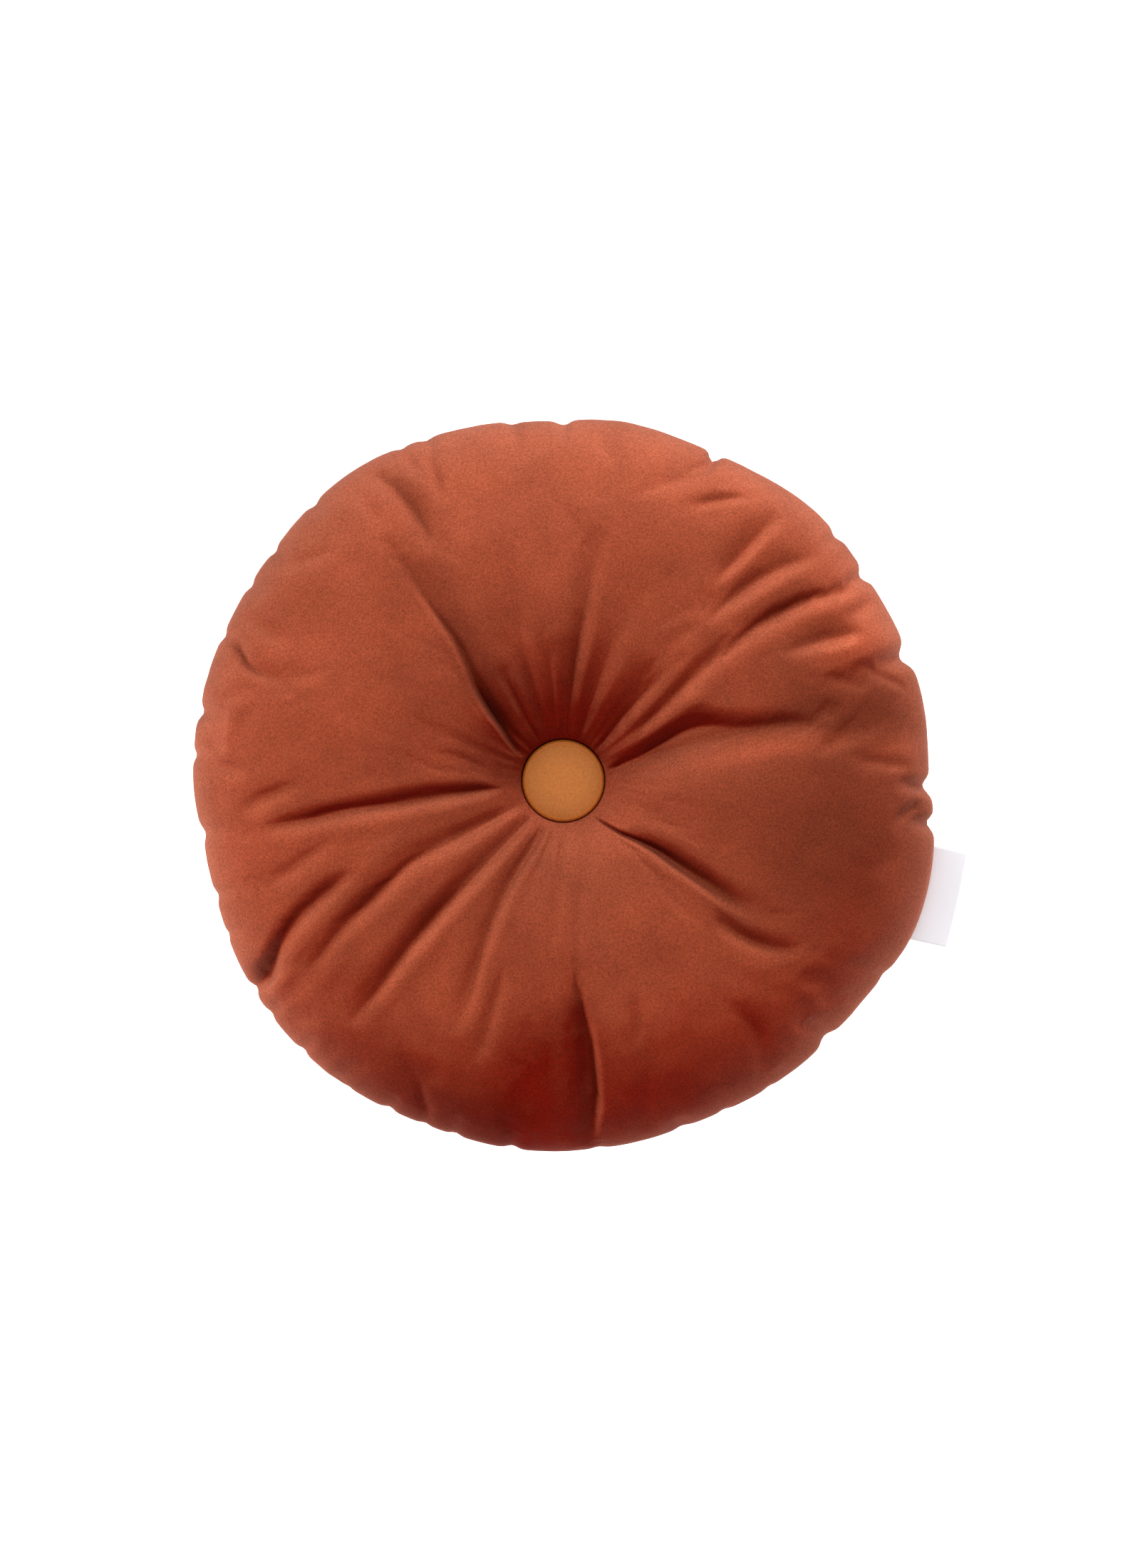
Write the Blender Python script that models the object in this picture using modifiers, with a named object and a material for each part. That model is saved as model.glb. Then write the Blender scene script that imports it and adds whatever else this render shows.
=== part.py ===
"""A round velvet cushion, lying on its back.

Two cloth discs are sewn together at the rim, filled, and drawn in at the centre by a thread that
runs from a leather-covered button on the front to its twin on the back. The filling stands as a
ring around the front button, and the spare cloth gathers into radial folds and into small pinches
at the rim seam. A ribbon label, folded double and bare, is sewn into the seam.

Units are metres, +Z is up, and angles are degrees, counted from +X towards +Y. Everything is built
around the tuft's axis, and the whole is then moved so that its box stands centred on the origin.
"""

import math
from typing import NamedTuple

import bpy
import numpy as np
from mathutils import Vector

# Driving dimensions
CUSHION_DIAMETER = 0.450
SEAM_HEIGHT = 0.054
CROWN_RISE = 0.066  # how far the front would stand above the seam without its tuft
TUFT_DEPTH = 0.040
TUFT_REACH = 0.034  # the radius over which the front's dip fades to about a third
BACK_TUFT_DEPTH = 0.013
BACK_TUFT_RADIUS = 0.064
BACK_DROP = 0.064  # how far the back would hang below the seam with no surface under it
BUTTON_DIAMETER = 0.050
BUTTON_THICKNESS = 0.0085
BUTTON_EDGE_HEIGHT = 0.0040
LABEL_WIDTH = 0.059
LABEL_REACH = 0.0205  # how far the folded label stands out of the rim
LABEL_MIDDLE_ANGLE = 342.6
LABEL_FACING_ANGLE = 347.6  # it was sewn in a little askew
RIBBON_THICKNESS = 0.0010
RIBBON_GAP = 0.0005  # between the label's two layers
LABEL_DROOP = 0.0030

# Details of the seam and of how pieces meet
FIT_GAP = 0.0003
SEAM_GROOVE_DEPTH = 0.0030
SEAM_GROOVE_WIDTH = 0.0035
SEAM_CLEARANCE = 0.0009  # from the seam's bottom to the label's inner ends
COLLAR_WIDTH = 0.0008  # where the cloth climbs the button's edge
COLLAR_HEIGHT = 0.0028
CORE_RADIUS = 0.150  # the pinches draw in towards the ring of filling at this radius
FOLD_FADE = 0.012  # the folds end over this distance at the rim
BUTTON_ROLL = 0.0015  # where the button's edge turns under

# How finely the solids are cut into faces
CUSHION_STEPS = 140
BUTTON_STEPS = 48
FRONT_RINGS = 28
BACK_RINGS = 10
LABEL_COLUMNS = 8
SMOOTH_UP_TO = 60  # degrees between faces
SOFTEST_WALL = 0.0035  # a fold's wall is widened by this and by half a face, so that faces show it

CUSHION_RADIUS = CUSHION_DIAMETER / 2
BUTTON_RADIUS = BUTTON_DIAMETER / 2
SEAT_RADIUS = BUTTON_RADIUS + FIT_GAP


class Fold(NamedTuple):
    """One valley in the front, from the button outwards."""

    near_wall: float  # half-width on the side of the smaller angle
    far_wall: float  # half-width on the side of the larger angle
    power: float  # 2 is a soft round valley, and nearer 1 a sharp crease
    line: tuple  # (radius, angle, depth) along the valley's bottom


class Pinch(NamedTuple):
    """A place where the rim seam draws the cloth in."""

    angle: float
    depth: float
    half_width: float
    run: float  # how far it runs in over the face


FOLDS = {
    "east": Fold(0.016, 0.0065, 1.5, (
        (0.026, 12.0, 0.0015), (0.045, 18.0, 0.0060), (0.066, 21.0, 0.0080),
        (0.095, 20.0, 0.0065), (0.120, 12.8, 0.0035), (0.142, 12.0, 0.0022),
        (0.180, 8.0, 0.0000))),
    "east upper": Fold(0.005, 0.0055, 1.7, (
        (0.040, 28.0, 0.0000), (0.058, 33.4, 0.0038), (0.092, 37.5, 0.0045),
        (0.140, 38.2, 0.0035), (0.182, 36.0, 0.0040), (0.218, 32.0, 0.0020))),
    "east outer": Fold(0.006, 0.005, 1.8, (
        (0.148, 29.5, 0.0000), (0.180, 28.0, 0.0030), (0.207, 28.0, 0.0015),
        (0.222, 29.0, 0.0015))),
    "north east inner": Fold(0.006, 0.007, 1.6, (
        (0.030, 36.0, 0.0005), (0.052, 44.3, 0.0034), (0.072, 46.6, 0.0030),
        (0.112, 46.0, 0.0000))),
    "north east": Fold(0.008, 0.008, 1.8, (
        (0.110, 45.5, 0.0000), (0.150, 45.0, 0.0026), (0.170, 44.5, 0.0028),
        (0.203, 41.5, 0.0012), (0.215, 41.0, 0.0000))),
    "north east outer": Fold(0.005, 0.005, 1.8, (
        (0.142, 52.5, 0.0000), (0.168, 52.0, 0.0028), (0.196, 50.3, 0.0016),
        (0.208, 50.0, 0.0000))),
    "north inner": Fold(0.006, 0.008, 1.8, (
        (0.030, 66.0, 0.0003), (0.055, 68.0, 0.0020), (0.115, 68.0, 0.0000))),
    "north": Fold(0.004, 0.0045, 1.4, (
        (0.028, 83.0, 0.0003), (0.055, 84.2, 0.0025), (0.085, 83.0, 0.0028),
        (0.125, 81.6, 0.0018), (0.145, 81.0, 0.0000))),
    "north west": Fold(0.005, 0.0032, 1.2, (
        (0.030, 146.0, 0.0005), (0.045, 142.0, 0.0055), (0.065, 137.0, 0.0070),
        (0.090, 131.5, 0.0045), (0.112, 127.5, 0.0038), (0.150, 127.2, 0.0022),
        (0.190, 126.0, 0.0016), (0.225, 126.0, 0.0005))),
    "north west outer": Fold(0.005, 0.006, 1.8, (
        (0.168, 123.0, 0.0000), (0.200, 120.0, 0.0020), (0.228, 119.5, 0.0012))),
    "west": Fold(0.0055, 0.0065, 1.6, (
        (0.036, 190.0, 0.0000), (0.055, 188.7, 0.0035), (0.090, 187.6, 0.0050),
        (0.130, 188.2, 0.0044), (0.170, 189.2, 0.0030), (0.198, 190.5, 0.0000))),
    "west upper": Fold(0.0045, 0.005, 1.8, (
        (0.142, 182.0, 0.0000), (0.170, 183.3, 0.0022), (0.197, 185.5, 0.0000))),
    "west lower": Fold(0.006, 0.006, 1.8, (
        (0.132, 196.5, 0.0000), (0.162, 197.8, 0.0020), (0.205, 199.5, 0.0000))),
    "south west upper": Fold(0.006, 0.005, 1.5, (
        (0.125, 201.0, 0.0000), (0.150, 204.6, 0.0034), (0.176, 207.9, 0.0050),
        (0.199, 211.6, 0.0050), (0.226, 213.5, 0.0040))),
    "south west": Fold(0.0065, 0.006, 1.6, (
        (0.030, 208.0, 0.0005), (0.055, 208.3, 0.0031), (0.097, 208.0, 0.0030),
        (0.122, 210.8, 0.0045), (0.152, 213.2, 0.0040), (0.183, 216.2, 0.0024),
        (0.210, 218.0, 0.0000))),
    "south west lower": Fold(0.0065, 0.0055, 1.6, (
        (0.028, 228.0, 0.0008), (0.060, 227.0, 0.0040), (0.100, 226.9, 0.0048),
        (0.140, 227.8, 0.0050), (0.174, 228.7, 0.0030), (0.198, 228.7, 0.0000))),
    "south west outer": Fold(0.006, 0.007, 1.8, (
        (0.120, 235.5, 0.0000), (0.160, 236.0, 0.0018), (0.195, 236.0, 0.0000))),
    "south south west": Fold(0.005, 0.0042, 1.5, (
        (0.028, 244.0, 0.0006), (0.058, 242.2, 0.0040), (0.090, 242.3, 0.0038),
        (0.120, 245.0, 0.0034), (0.156, 246.8, 0.0016), (0.170, 247.0, 0.0000))),
    "south outer": Fold(0.005, 0.006, 1.8, (
        (0.112, 252.5, 0.0000), (0.150, 253.0, 0.0024), (0.190, 254.0, 0.0000))),
    "south": Fold(0.016, 0.0026, 1.1, (
        (0.108, 273.8, 0.0000), (0.128, 275.0, 0.0024), (0.158, 276.2, 0.0055),
        (0.192, 276.0, 0.0060), (0.216, 275.0, 0.0030), (0.226, 274.5, 0.0015))),
    "south east rim": Fold(0.007, 0.006, 1.8, (
        (0.160, 306.0, 0.0000), (0.192, 307.2, 0.0020), (0.220, 304.5, 0.0005))),
    "south east outer": Fold(0.004, 0.0042, 1.5, (
        (0.118, 317.3, 0.0000), (0.138, 318.0, 0.0030), (0.158, 320.2, 0.0026),
        (0.176, 323.5, 0.0000))),
    "south east crease": Fold(0.0034, 0.0022, 1.2, (
        (0.030, 309.0, 0.0004), (0.048, 315.0, 0.0028), (0.068, 321.2, 0.0034),
        (0.098, 322.9, 0.0028), (0.130, 323.0, 0.0008), (0.140, 323.0, 0.0000))),
    "south east": Fold(0.0034, 0.007, 1.6, (
        (0.042, 315.5, 0.0000), (0.062, 322.8, 0.0040), (0.090, 325.3, 0.0052),
        (0.118, 325.4, 0.0040), (0.148, 324.5, 0.0000))),
}

# The rim's radius by angle, as a share of the cushion's own radius, before its pinches
RIM_SHAPE = (
    (0, 0.992), (15, 1.000), (30, 0.998), (50, 1.004), (70, 0.990), (90, 0.984),
    (105, 1.000), (125, 1.022), (145, 1.006), (165, 1.007), (190, 0.994),
    (210, 1.015), (230, 1.022), (250, 1.009), (270, 1.004), (290, 0.994),
    (310, 1.007), (325, 1.015), (335, 1.034), (345, 1.025), (352, 1.008),
)

PINCHES = (
    Pinch(20.3, 0.0060, 0.0080, 0.060),
    Pinch(34.2, 0.0048, 0.0060, 0.030),
    Pinch(42.0, 0.0016, 0.0045, 0.015),
    Pinch(65.0, 0.0085, 0.0070, 0.024),
    Pinch(77.0, 0.0018, 0.0050, 0.012),
    Pinch(90.0, 0.0040, 0.0070, 0.014),
    Pinch(115.0, 0.0016, 0.0040, 0.025),
    Pinch(132.0, 0.0026, 0.0050, 0.014),
    Pinch(156.8, 0.0024, 0.0045, 0.022),
    Pinch(169.2, 0.0040, 0.0050, 0.020),
    Pinch(176.2, 0.0028, 0.0045, 0.022),
    Pinch(188.4, 0.0030, 0.0060, 0.020),
    Pinch(198.0, 0.0016, 0.0045, 0.014),
    Pinch(213.6, 0.0040, 0.0050, 0.036),
    Pinch(225.8, 0.0024, 0.0045, 0.015),
    Pinch(242.0, 0.0030, 0.0050, 0.022),
    Pinch(262.0, 0.0034, 0.0050, 0.018),
    Pinch(275.5, 0.0016, 0.0050, 0.020),
    Pinch(289.0, 0.0016, 0.0080, 0.016),
    Pinch(315.8, 0.0034, 0.0065, 0.018),
    Pinch(353.6, 0.0052, 0.0050, 0.028),
    Pinch(359.2, 0.0036, 0.0055, 0.034),
)


def through(x, points):
    """The smooth curve through (x, y) points, level beyond both ends: a cubic Hermite curve whose
    slope at each point is that of its neighbours."""
    xs, ys = np.array(points, float).T
    slopes = np.gradient(ys, xs)
    x = np.clip(x, xs[0], xs[-1])
    i = np.clip(np.searchsorted(xs, x, side="right") - 1, 0, len(xs) - 2)
    step = xs[i + 1] - xs[i]
    t = (x - xs[i]) / step
    rise = t * t * (3 - 2 * t)
    lean = t * (1 - t) * step * ((1 - t) * slopes[i] - t * slopes[i + 1])
    return ys[i] + (ys[i + 1] - ys[i]) * rise + lean


def arc_from(angle, middle, radius):
    """How far a point at this angle lies from the middle angle, along a circle."""
    return np.radians((angle - middle + 180) % 360 - 180) * radius


def fold_height(radius, angle):
    """How far the folds lower the front: each is a valley across its line, whose walls fall off as
    exp(-(distance / half-width) ** power), with a low lip of displaced filling on both sides."""
    height = np.zeros_like(radius)
    widened = SOFTEST_WALL + math.pi / CUSHION_STEPS * radius
    for fold in FOLDS.values():
        bottom = through(radius, [(r, a) for r, a, _ in fold.line])
        depth = through(radius, [(r, d) for r, _, d in fold.line])
        inside = (radius >= fold.line[0][0]) & (radius <= fold.line[-1][0])
        depth = np.where(inside, np.maximum(depth, 0), 0)
        across = arc_from(angle, bottom, radius)
        wall = np.hypot(np.where(across < 0, fold.near_wall, fold.far_wall), widened)
        away = np.abs(across) / wall
        valley = np.exp(-(away**fold.power))
        lip = 0.18 * np.exp(-(((away - 2.2) / 0.8) ** 2))
        height -= depth * (valley - lip)
    return height


def rim_radius(angle):
    """The rim's radius without its pinches."""
    last, first = RIM_SHAPE[-1], RIM_SHAPE[0]
    around = [(last[0] - 360, last[1]), *RIM_SHAPE, (360, first[1]), (375, RIM_SHAPE[1][1])]
    return CUSHION_RADIUS * through(np.asarray(angle) % 360, around)


def pinch_depth(angle, from_rim):
    """How far the seam draws the cloth in, at this distance from the rim over the face."""
    depth = np.zeros_like(from_rim)
    for pinch in PINCHES:
        across = arc_from(angle, pinch.angle, CUSHION_RADIUS) / pinch.half_width
        depth += pinch.depth * np.exp(-(across**2)) * np.exp(-((from_rim / pinch.run) ** 2))
    return depth


def seam_groove(height):
    """How far the stitched seam lies inside the widest line."""
    return SEAM_GROOVE_DEPTH * np.exp(-(((height - SEAM_HEIGHT) / SEAM_GROOVE_WIDTH) ** 2))


def front_height(radius):
    """The front's height: a full crown less the dip that the tuft pulls around the button."""
    share = np.clip(radius / CUSHION_RADIUS, 0, 1)
    crown = SEAM_HEIGHT + CROWN_RISE * (1 - share**3.2) ** 0.52
    collar = COLLAR_HEIGHT * np.clip((radius - SEAT_RADIUS) / COLLAR_WIDTH, 0, 1)
    return crown - TUFT_DEPTH * np.exp(-np.clip(radius - SEAT_RADIUS, 0, None) / TUFT_REACH) + (
        collar - COLLAR_HEIGHT
    )


def back_height(radius):
    """The back's height: it hangs in a curve from the seam, lies flat on the surface, and is drawn
    up a little around its button."""
    share = np.clip(radius / CUSHION_RADIUS, 0, 1)
    hang = np.maximum(0, SEAM_HEIGHT - BACK_DROP * (1 - share**2.6) ** 0.56)
    inward = np.clip((BACK_TUFT_RADIUS - radius) / (BACK_TUFT_RADIUS - SEAT_RADIUS), 0, 1)
    return hang + BACK_TUFT_DEPTH * inward * inward * (3 - 2 * inward)


def cushion_profile():
    """(radius, height) points from the front's middle over the rim to the back's middle. The rings
    are closer near the button and near the rim, where the curve turns fastest."""
    out = np.linspace(0, 1, FRONT_RINGS)
    front = SEAT_RADIUS + COLLAR_WIDTH
    front = front + (CUSHION_RADIUS - front) * np.sin(out**1.4 * math.pi / 2)
    points = [(0, front_height(0)), (SEAT_RADIUS, front_height(SEAT_RADIUS))]
    points += [(r, front_height(r)) for r in front]
    back = BUTTON_RADIUS + (CUSHION_RADIUS - BUTTON_RADIUS) * np.sin(
        np.linspace(1, 0, BACK_RINGS + 1)[1:] ** 0.9 * math.pi / 2
    )
    back = np.append(back[:-1], SEAT_RADIUS)
    points += [(r, back_height(r)) for r in back]
    points.append((0, back_height(0)))
    return [(float(r), float(z)) for r, z in points]


def turned(name, profile, steps):
    """The mesh object that a profile at +X, from top to bottom, makes when turned about Z."""
    mesh = bpy.data.meshes.new(name + "_profile")
    edges = [(i, i + 1) for i in range(len(profile) - 1)]
    mesh.from_pydata([(r, 0, z) for r, z in profile], edges, [])
    guide = bpy.data.objects.new(name + "_profile", mesh)
    bpy.context.scene.collection.objects.link(guide)
    screw = guide.modifiers.new("Turn", "SCREW")
    screw.axis = "Z"
    screw.steps = screw.render_steps = steps
    screw.use_merge_vertices = True
    screw.merge_threshold = 0.00005
    graph = bpy.context.evaluated_depsgraph_get()
    solid = bpy.data.meshes.new_from_object(guide.evaluated_get(graph))
    bpy.data.objects.remove(guide)
    solid.name = name
    return bpy.data.objects.new(name, solid)


def finish(obj, collection, parent, material):
    """Puts a piece in the object's collection, under its parent, with its material."""
    collection.objects.link(obj)
    obj.parent = parent
    obj.data.materials.clear()
    obj.data.materials.append(material)
    obj.data.shade_smooth()
    obj.data.set_sharp_from_angle(angle=math.radians(SMOOTH_UP_TO))
    return obj


def finish_material(name, colour, roughness, sheen=0.0):
    material = bpy.data.materials.new(name)
    material.use_nodes = True
    shader = material.node_tree.nodes["Principled BSDF"]
    shader.inputs["Base Color"].default_value = (*colour, 1)
    shader.inputs["Roughness"].default_value = roughness
    shader.inputs["Metallic"].default_value = 0.0
    shader.inputs["Sheen Weight"].default_value = sheen
    return material


def make_cushion():
    """The filled cover: a turned form whose points are then moved to the uneven rim, the pinches
    of its seam and the folds of its front."""
    obj = turned("cushion", cushion_profile(), CUSHION_STEPS)
    count = len(obj.data.vertices)
    points = np.empty(count * 3, np.float32)
    obj.data.vertices.foreach_get("co", points)
    x, y, z = points.reshape(-1, 3).astype(float).T
    radius = np.hypot(x, y)
    angle = np.degrees(np.arctan2(y, x)) % 360
    front = z > SEAM_HEIGHT
    share = np.clip((radius - BUTTON_RADIUS) / (CUSHION_RADIUS - BUTTON_RADIUS), 0, 1)
    stretch = 1 + (rim_radius(angle) / CUSHION_RADIUS - 1) * share
    from_rim = CUSHION_RADIUS - radius
    drawn_in = pinch_depth(angle, from_rim) + seam_groove(z)
    lower = np.where(front, fold_height(radius * stretch, angle), 0)
    lower *= np.clip(from_rim / FOLD_FADE, 0, 1)
    to_core_r = radius - CORE_RADIUS
    to_core_z = z - SEAM_HEIGHT
    length = np.hypot(to_core_r, to_core_z)
    near_rim = radius > CORE_RADIUS
    new_radius = radius * stretch - np.where(near_rim, drawn_in * to_core_r / length, 0)
    sink = np.where(near_rim & (z > 0), drawn_in * to_core_z / length, 0)
    new_z = np.maximum(z - sink + lower, 0)
    scale = new_radius / np.maximum(radius, 1e-9)
    moved = np.stack([x * scale, y * scale, new_z], 1).astype(np.float32)
    obj.data.vertices.foreach_set("co", moved.ravel())
    obj.data.update()
    return obj


def button_profile():
    """A covered button from its domed face down its rolled edge to its flat underside."""
    face, edge = BUTTON_THICKNESS, BUTTON_EDGE_HEIGHT
    dome = [
        (BUTTON_RADIUS * math.sin(t), edge + (face - edge) * math.cos(t))
        for t in np.linspace(0, math.pi / 2, 8)
    ]
    under = [(BUTTON_RADIUS, BUTTON_ROLL), (BUTTON_RADIUS - BUTTON_ROLL, 0), (0, 0)]
    return [(float(r), float(z)) for r, z in dome + under]


def make_button(name, seat_height, faces_up):
    obj = turned(name, button_profile(), BUTTON_STEPS)
    obj.location.z = seat_height + (FIT_GAP if faces_up else -FIT_GAP)
    obj.rotation_euler.x = 0 if faces_up else math.pi
    return obj


def seam_distance(side, outward, along):
    """How far out along the label's direction the seam lies, this far to the side of its middle."""
    distance = CUSHION_RADIUS
    for _ in range(4):
        place = outward * distance + along * side
        seam = rim_radius(math.degrees(math.atan2(place.y, place.x))) - SEAM_GROOVE_DEPTH
        distance += float(seam) - place.length
    return distance


def make_label():
    """The ribbon from the seam out along its lower layer, around the fold and back along the upper
    one, as an open surface that gets its thickness from Solidify. Its inner ends follow the seam."""
    facing = math.radians(LABEL_FACING_ANGLE)
    outward = Vector((math.cos(facing), math.sin(facing), 0))
    along = Vector((-math.sin(facing), math.cos(facing), 0))
    askew = math.radians(LABEL_MIDDLE_ANGLE) - facing
    middle = CUSHION_RADIUS * math.sin(askew)
    half_fold = (RIBBON_GAP + RIBBON_THICKNESS) / 2
    fold_end = seam_distance(middle, outward, along) + LABEL_REACH - half_fold
    turns = np.linspace(-math.pi / 2, math.pi / 2, 5)
    points = []
    for side in middle + np.linspace(-0.5, 0.5, LABEL_COLUMNS + 1) * LABEL_WIDTH:
        start = seam_distance(side, outward, along) + SEAM_CLEARANCE
        run = [start + (fold_end - start) * t for t in (0, 0.2, 0.6)]
        section = [(d, -half_fold) for d in run]
        section += [
            (fold_end + half_fold * math.cos(t), half_fold * math.sin(t)) for t in turns
        ]
        section += [(d, half_fold) for d in reversed(run)]
        for distance, rise in section:
            droop = LABEL_DROOP * ((distance - start) / LABEL_REACH) ** 2
            point = outward * distance + along * side
            points.append((point.x, point.y, SEAM_HEIGHT + rise - droop))
    width = len(points) // (LABEL_COLUMNS + 1)
    faces = [
        (i * width + j, i * width + j + 1, (i + 1) * width + j + 1, (i + 1) * width + j)
        for i in range(LABEL_COLUMNS)
        for j in range(width - 1)
    ]
    mesh = bpy.data.meshes.new("label")
    mesh.from_pydata(points, [], faces)
    obj = bpy.data.objects.new("label", mesh)
    thick = obj.modifiers.new("Ribbon", "SOLIDIFY")
    thick.thickness = RIBBON_THICKNESS
    thick.offset = 0
    return obj


def stand_on_origin(pieces, root):
    """Moves the root so that the box over all pieces stands centred on the origin."""
    bpy.context.view_layer.update()
    graph = bpy.context.evaluated_depsgraph_get()
    corners = []
    for obj in pieces:
        shown = obj.evaluated_get(graph)
        corners += [shown.matrix_world @ vertex.co for vertex in shown.data.vertices]
    low = Vector([min(c[i] for c in corners) for i in range(3)])
    high = Vector([max(c[i] for c in corners) for i in range(3)])
    root.location = (-(low.x + high.x) / 2, -(low.y + high.y) / 2, 0)


def main():
    for old in list(bpy.data.objects):
        bpy.data.objects.remove(old)
    collection = bpy.data.collections.new("Tufted cushion")
    bpy.context.scene.collection.children.link(collection)
    root = bpy.data.objects.new("tuft_axis", None)
    collection.objects.link(root)

    velvet = finish_material("velvet", (0.36, 0.072, 0.034), 0.85, sheen=0.6)
    leather = finish_material("button_leather", (0.47, 0.165, 0.043), 0.55)
    ribbon = finish_material("label_ribbon", (0.80, 0.77, 0.78), 0.70)

    pieces = [
        finish(make_cushion(), collection, root, velvet),
        finish(make_button("front_button", float(front_height(0)), True), collection, root, leather),
        finish(make_button("back_button", float(back_height(0)), False), collection, root, leather),
        finish(make_label(), collection, root, ribbon),
    ]
    stand_on_origin(pieces, root)


main()
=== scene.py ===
# %% [markdown]
# # A round velvet cushion, tufted at its centre
#
# Two discs of short-pile velvet are sewn together at the rim and filled. A thread runs through the
# middle from a leather-covered button on the front to its twin on the back, and pulls the two
# together. The filling has nowhere to go but outwards, so it stands in a ring around the button,
# and the cloth that is left over gathers into folds. A bare ribbon label is sewn into the seam.
#
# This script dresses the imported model: it keeps every piece where the CAD puts it, and works out
# finer surfaces with numpy. Lengths are in millimetres until they go into a mesh, and angles are
# in degrees, counted from +X towards +Y around the tuft. In names, north is +Y, the top of the
# picture, and east is +X.

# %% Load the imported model
import math
from collections import namedtuple

import bpy
import numpy as np
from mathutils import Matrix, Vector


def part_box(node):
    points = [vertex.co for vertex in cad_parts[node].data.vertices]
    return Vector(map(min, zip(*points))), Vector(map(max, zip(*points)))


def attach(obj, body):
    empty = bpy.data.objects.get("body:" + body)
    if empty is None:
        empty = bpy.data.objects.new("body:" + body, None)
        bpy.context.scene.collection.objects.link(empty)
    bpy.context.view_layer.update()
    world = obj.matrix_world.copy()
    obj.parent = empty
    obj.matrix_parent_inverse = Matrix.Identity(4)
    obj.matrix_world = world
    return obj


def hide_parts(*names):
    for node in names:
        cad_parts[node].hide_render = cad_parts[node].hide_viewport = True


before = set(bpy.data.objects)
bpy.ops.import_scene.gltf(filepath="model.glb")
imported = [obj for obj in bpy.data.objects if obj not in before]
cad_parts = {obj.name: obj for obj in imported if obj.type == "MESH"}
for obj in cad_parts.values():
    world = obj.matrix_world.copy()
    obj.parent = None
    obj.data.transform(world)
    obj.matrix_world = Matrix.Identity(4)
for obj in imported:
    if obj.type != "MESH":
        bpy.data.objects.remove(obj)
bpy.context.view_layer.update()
MM = 0.001  # metres in a millimetre

button_low, button_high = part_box("front_button")
back_low, back_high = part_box("back_button")
TUFT_X, TUFT_Y = ((button_low + button_high) / 2).xy
BUTTON_RADIUS = (button_high.x - button_low.x) / 2 / MM
BUTTON_THICKNESS = (button_high.z - button_low.z) / MM
print("tuft axis", round(TUFT_X, 4), round(TUFT_Y, 4), "button radius", round(BUTTON_RADIUS, 2))

# %% [markdown]
# ## Two helpers that every surface needs
#
# A fold isn't straight, and a rim isn't a circle. Both are given here by a few points each, with a
# smooth curve through them, so a table stays short enough to read. Distances across a fold are
# measured along the circle on which the point lies.

# %% Curves through points, and distances around the tuft


def through(x, points):
    """The smooth curve through (x, y) points, level beyond both ends: a cubic Hermite curve whose
    slope at each point is that of its neighbours."""
    xs, ys = np.array(points, float).T
    slopes = np.gradient(ys, xs)
    x = np.clip(x, xs[0], xs[-1])
    i = np.clip(np.searchsorted(xs, x, side="right") - 1, 0, len(xs) - 2)
    step = xs[i + 1] - xs[i]
    t = (x - xs[i]) / step
    rise = t * t * (3 - 2 * t)
    lean = t * (1 - t) * step * ((1 - t) * slopes[i] - t * slopes[i + 1])
    return ys[i] + (ys[i + 1] - ys[i]) * rise + lean


def around(angle, points):
    """The same curve for a full turn: its last points are repeated before the first ones."""
    wrapped = [(a - 360, y) for a, y in points[-2:]] + list(points)
    wrapped += [(a + 360, y) for a, y in points[:2]]
    return through(angle % 360, wrapped)


def arc_from(angle, middle, radius):
    """How far a point lies from the middle angle, along the circle of this radius: the difference
    between the two angles, in radians, times the radius."""
    return np.radians((angle - middle + 180) % 360 - 180) * radius


ten_degrees = float(arc_from(10, 0, BUTTON_RADIUS))
print("ten degrees are", round(ten_degrees, 1), "mm at the button's edge")

# %% [markdown]
# ## The cushion's plain form
#
# Without its tuft the front would be a full crown, round towards the rim and nearly level in the
# middle. The tuft takes a funnel out of it, which fades as the distance from the button grows. The
# back hangs in a curve from the seam, lies flat on the floor, and is drawn up a little around its
# own button. A profile turned around the tuft is the simplest way to such a form, and everything
# that makes it uneven is added to it afterwards. The sizes are those of the CAD model, but for two:
# the funnel ends 2.4 mm higher, and the step at the button's edge is that much taller and narrower.

# %% The heights of the front and of the back
CUSHION_RADIUS = 225.0
SEAM_HEIGHT = 54.0  # above the floor
CROWN_RISE = 66.0  # the crown's top above the seam, before the tuft takes its part
CROWN_FLATNESS = 3.2  # the larger, the wider the level middle
CROWN_ROUNDNESS = 0.52  # the smaller, the steeper the cloth at the rim
TUFT_DEPTH = 37.6
TUFT_REACH = 34.0
BACK_DROP = 64.0  # more than the seam's height, so the middle of the back would lie below the floor
BACK_FLATNESS = 2.6
BACK_ROUNDNESS = 0.56
BACK_TUFT_DEPTH = 13.0
BACK_TUFT_RADIUS = 64.0
FIT_GAP = 0.3  # between the cloth and the button's edge
SEAT_RADIUS = BUTTON_RADIUS + FIT_GAP
COLLAR_WIDTH = 0.4
COLLAR_HEIGHT = 5.2


def front_height(radius):
    """A full crown that falls as (1 - share ** flatness) ** roundness, where share is the radius
    over the cushion's, less a funnel that fades as exp(-distance / reach), less a small step down
    at the button's edge, where the cloth goes under it."""
    share = np.clip(radius / CUSHION_RADIUS, 0, 1)
    crown = SEAM_HEIGHT + CROWN_RISE * (1 - share**CROWN_FLATNESS) ** CROWN_ROUNDNESS
    funnel = TUFT_DEPTH * np.exp(-np.clip(radius - SEAT_RADIUS, 0, None) / TUFT_REACH)
    collar = COLLAR_HEIGHT * (1 - np.clip((radius - SEAT_RADIUS) / COLLAR_WIDTH, 0, 1))
    return crown - funnel - collar


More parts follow.
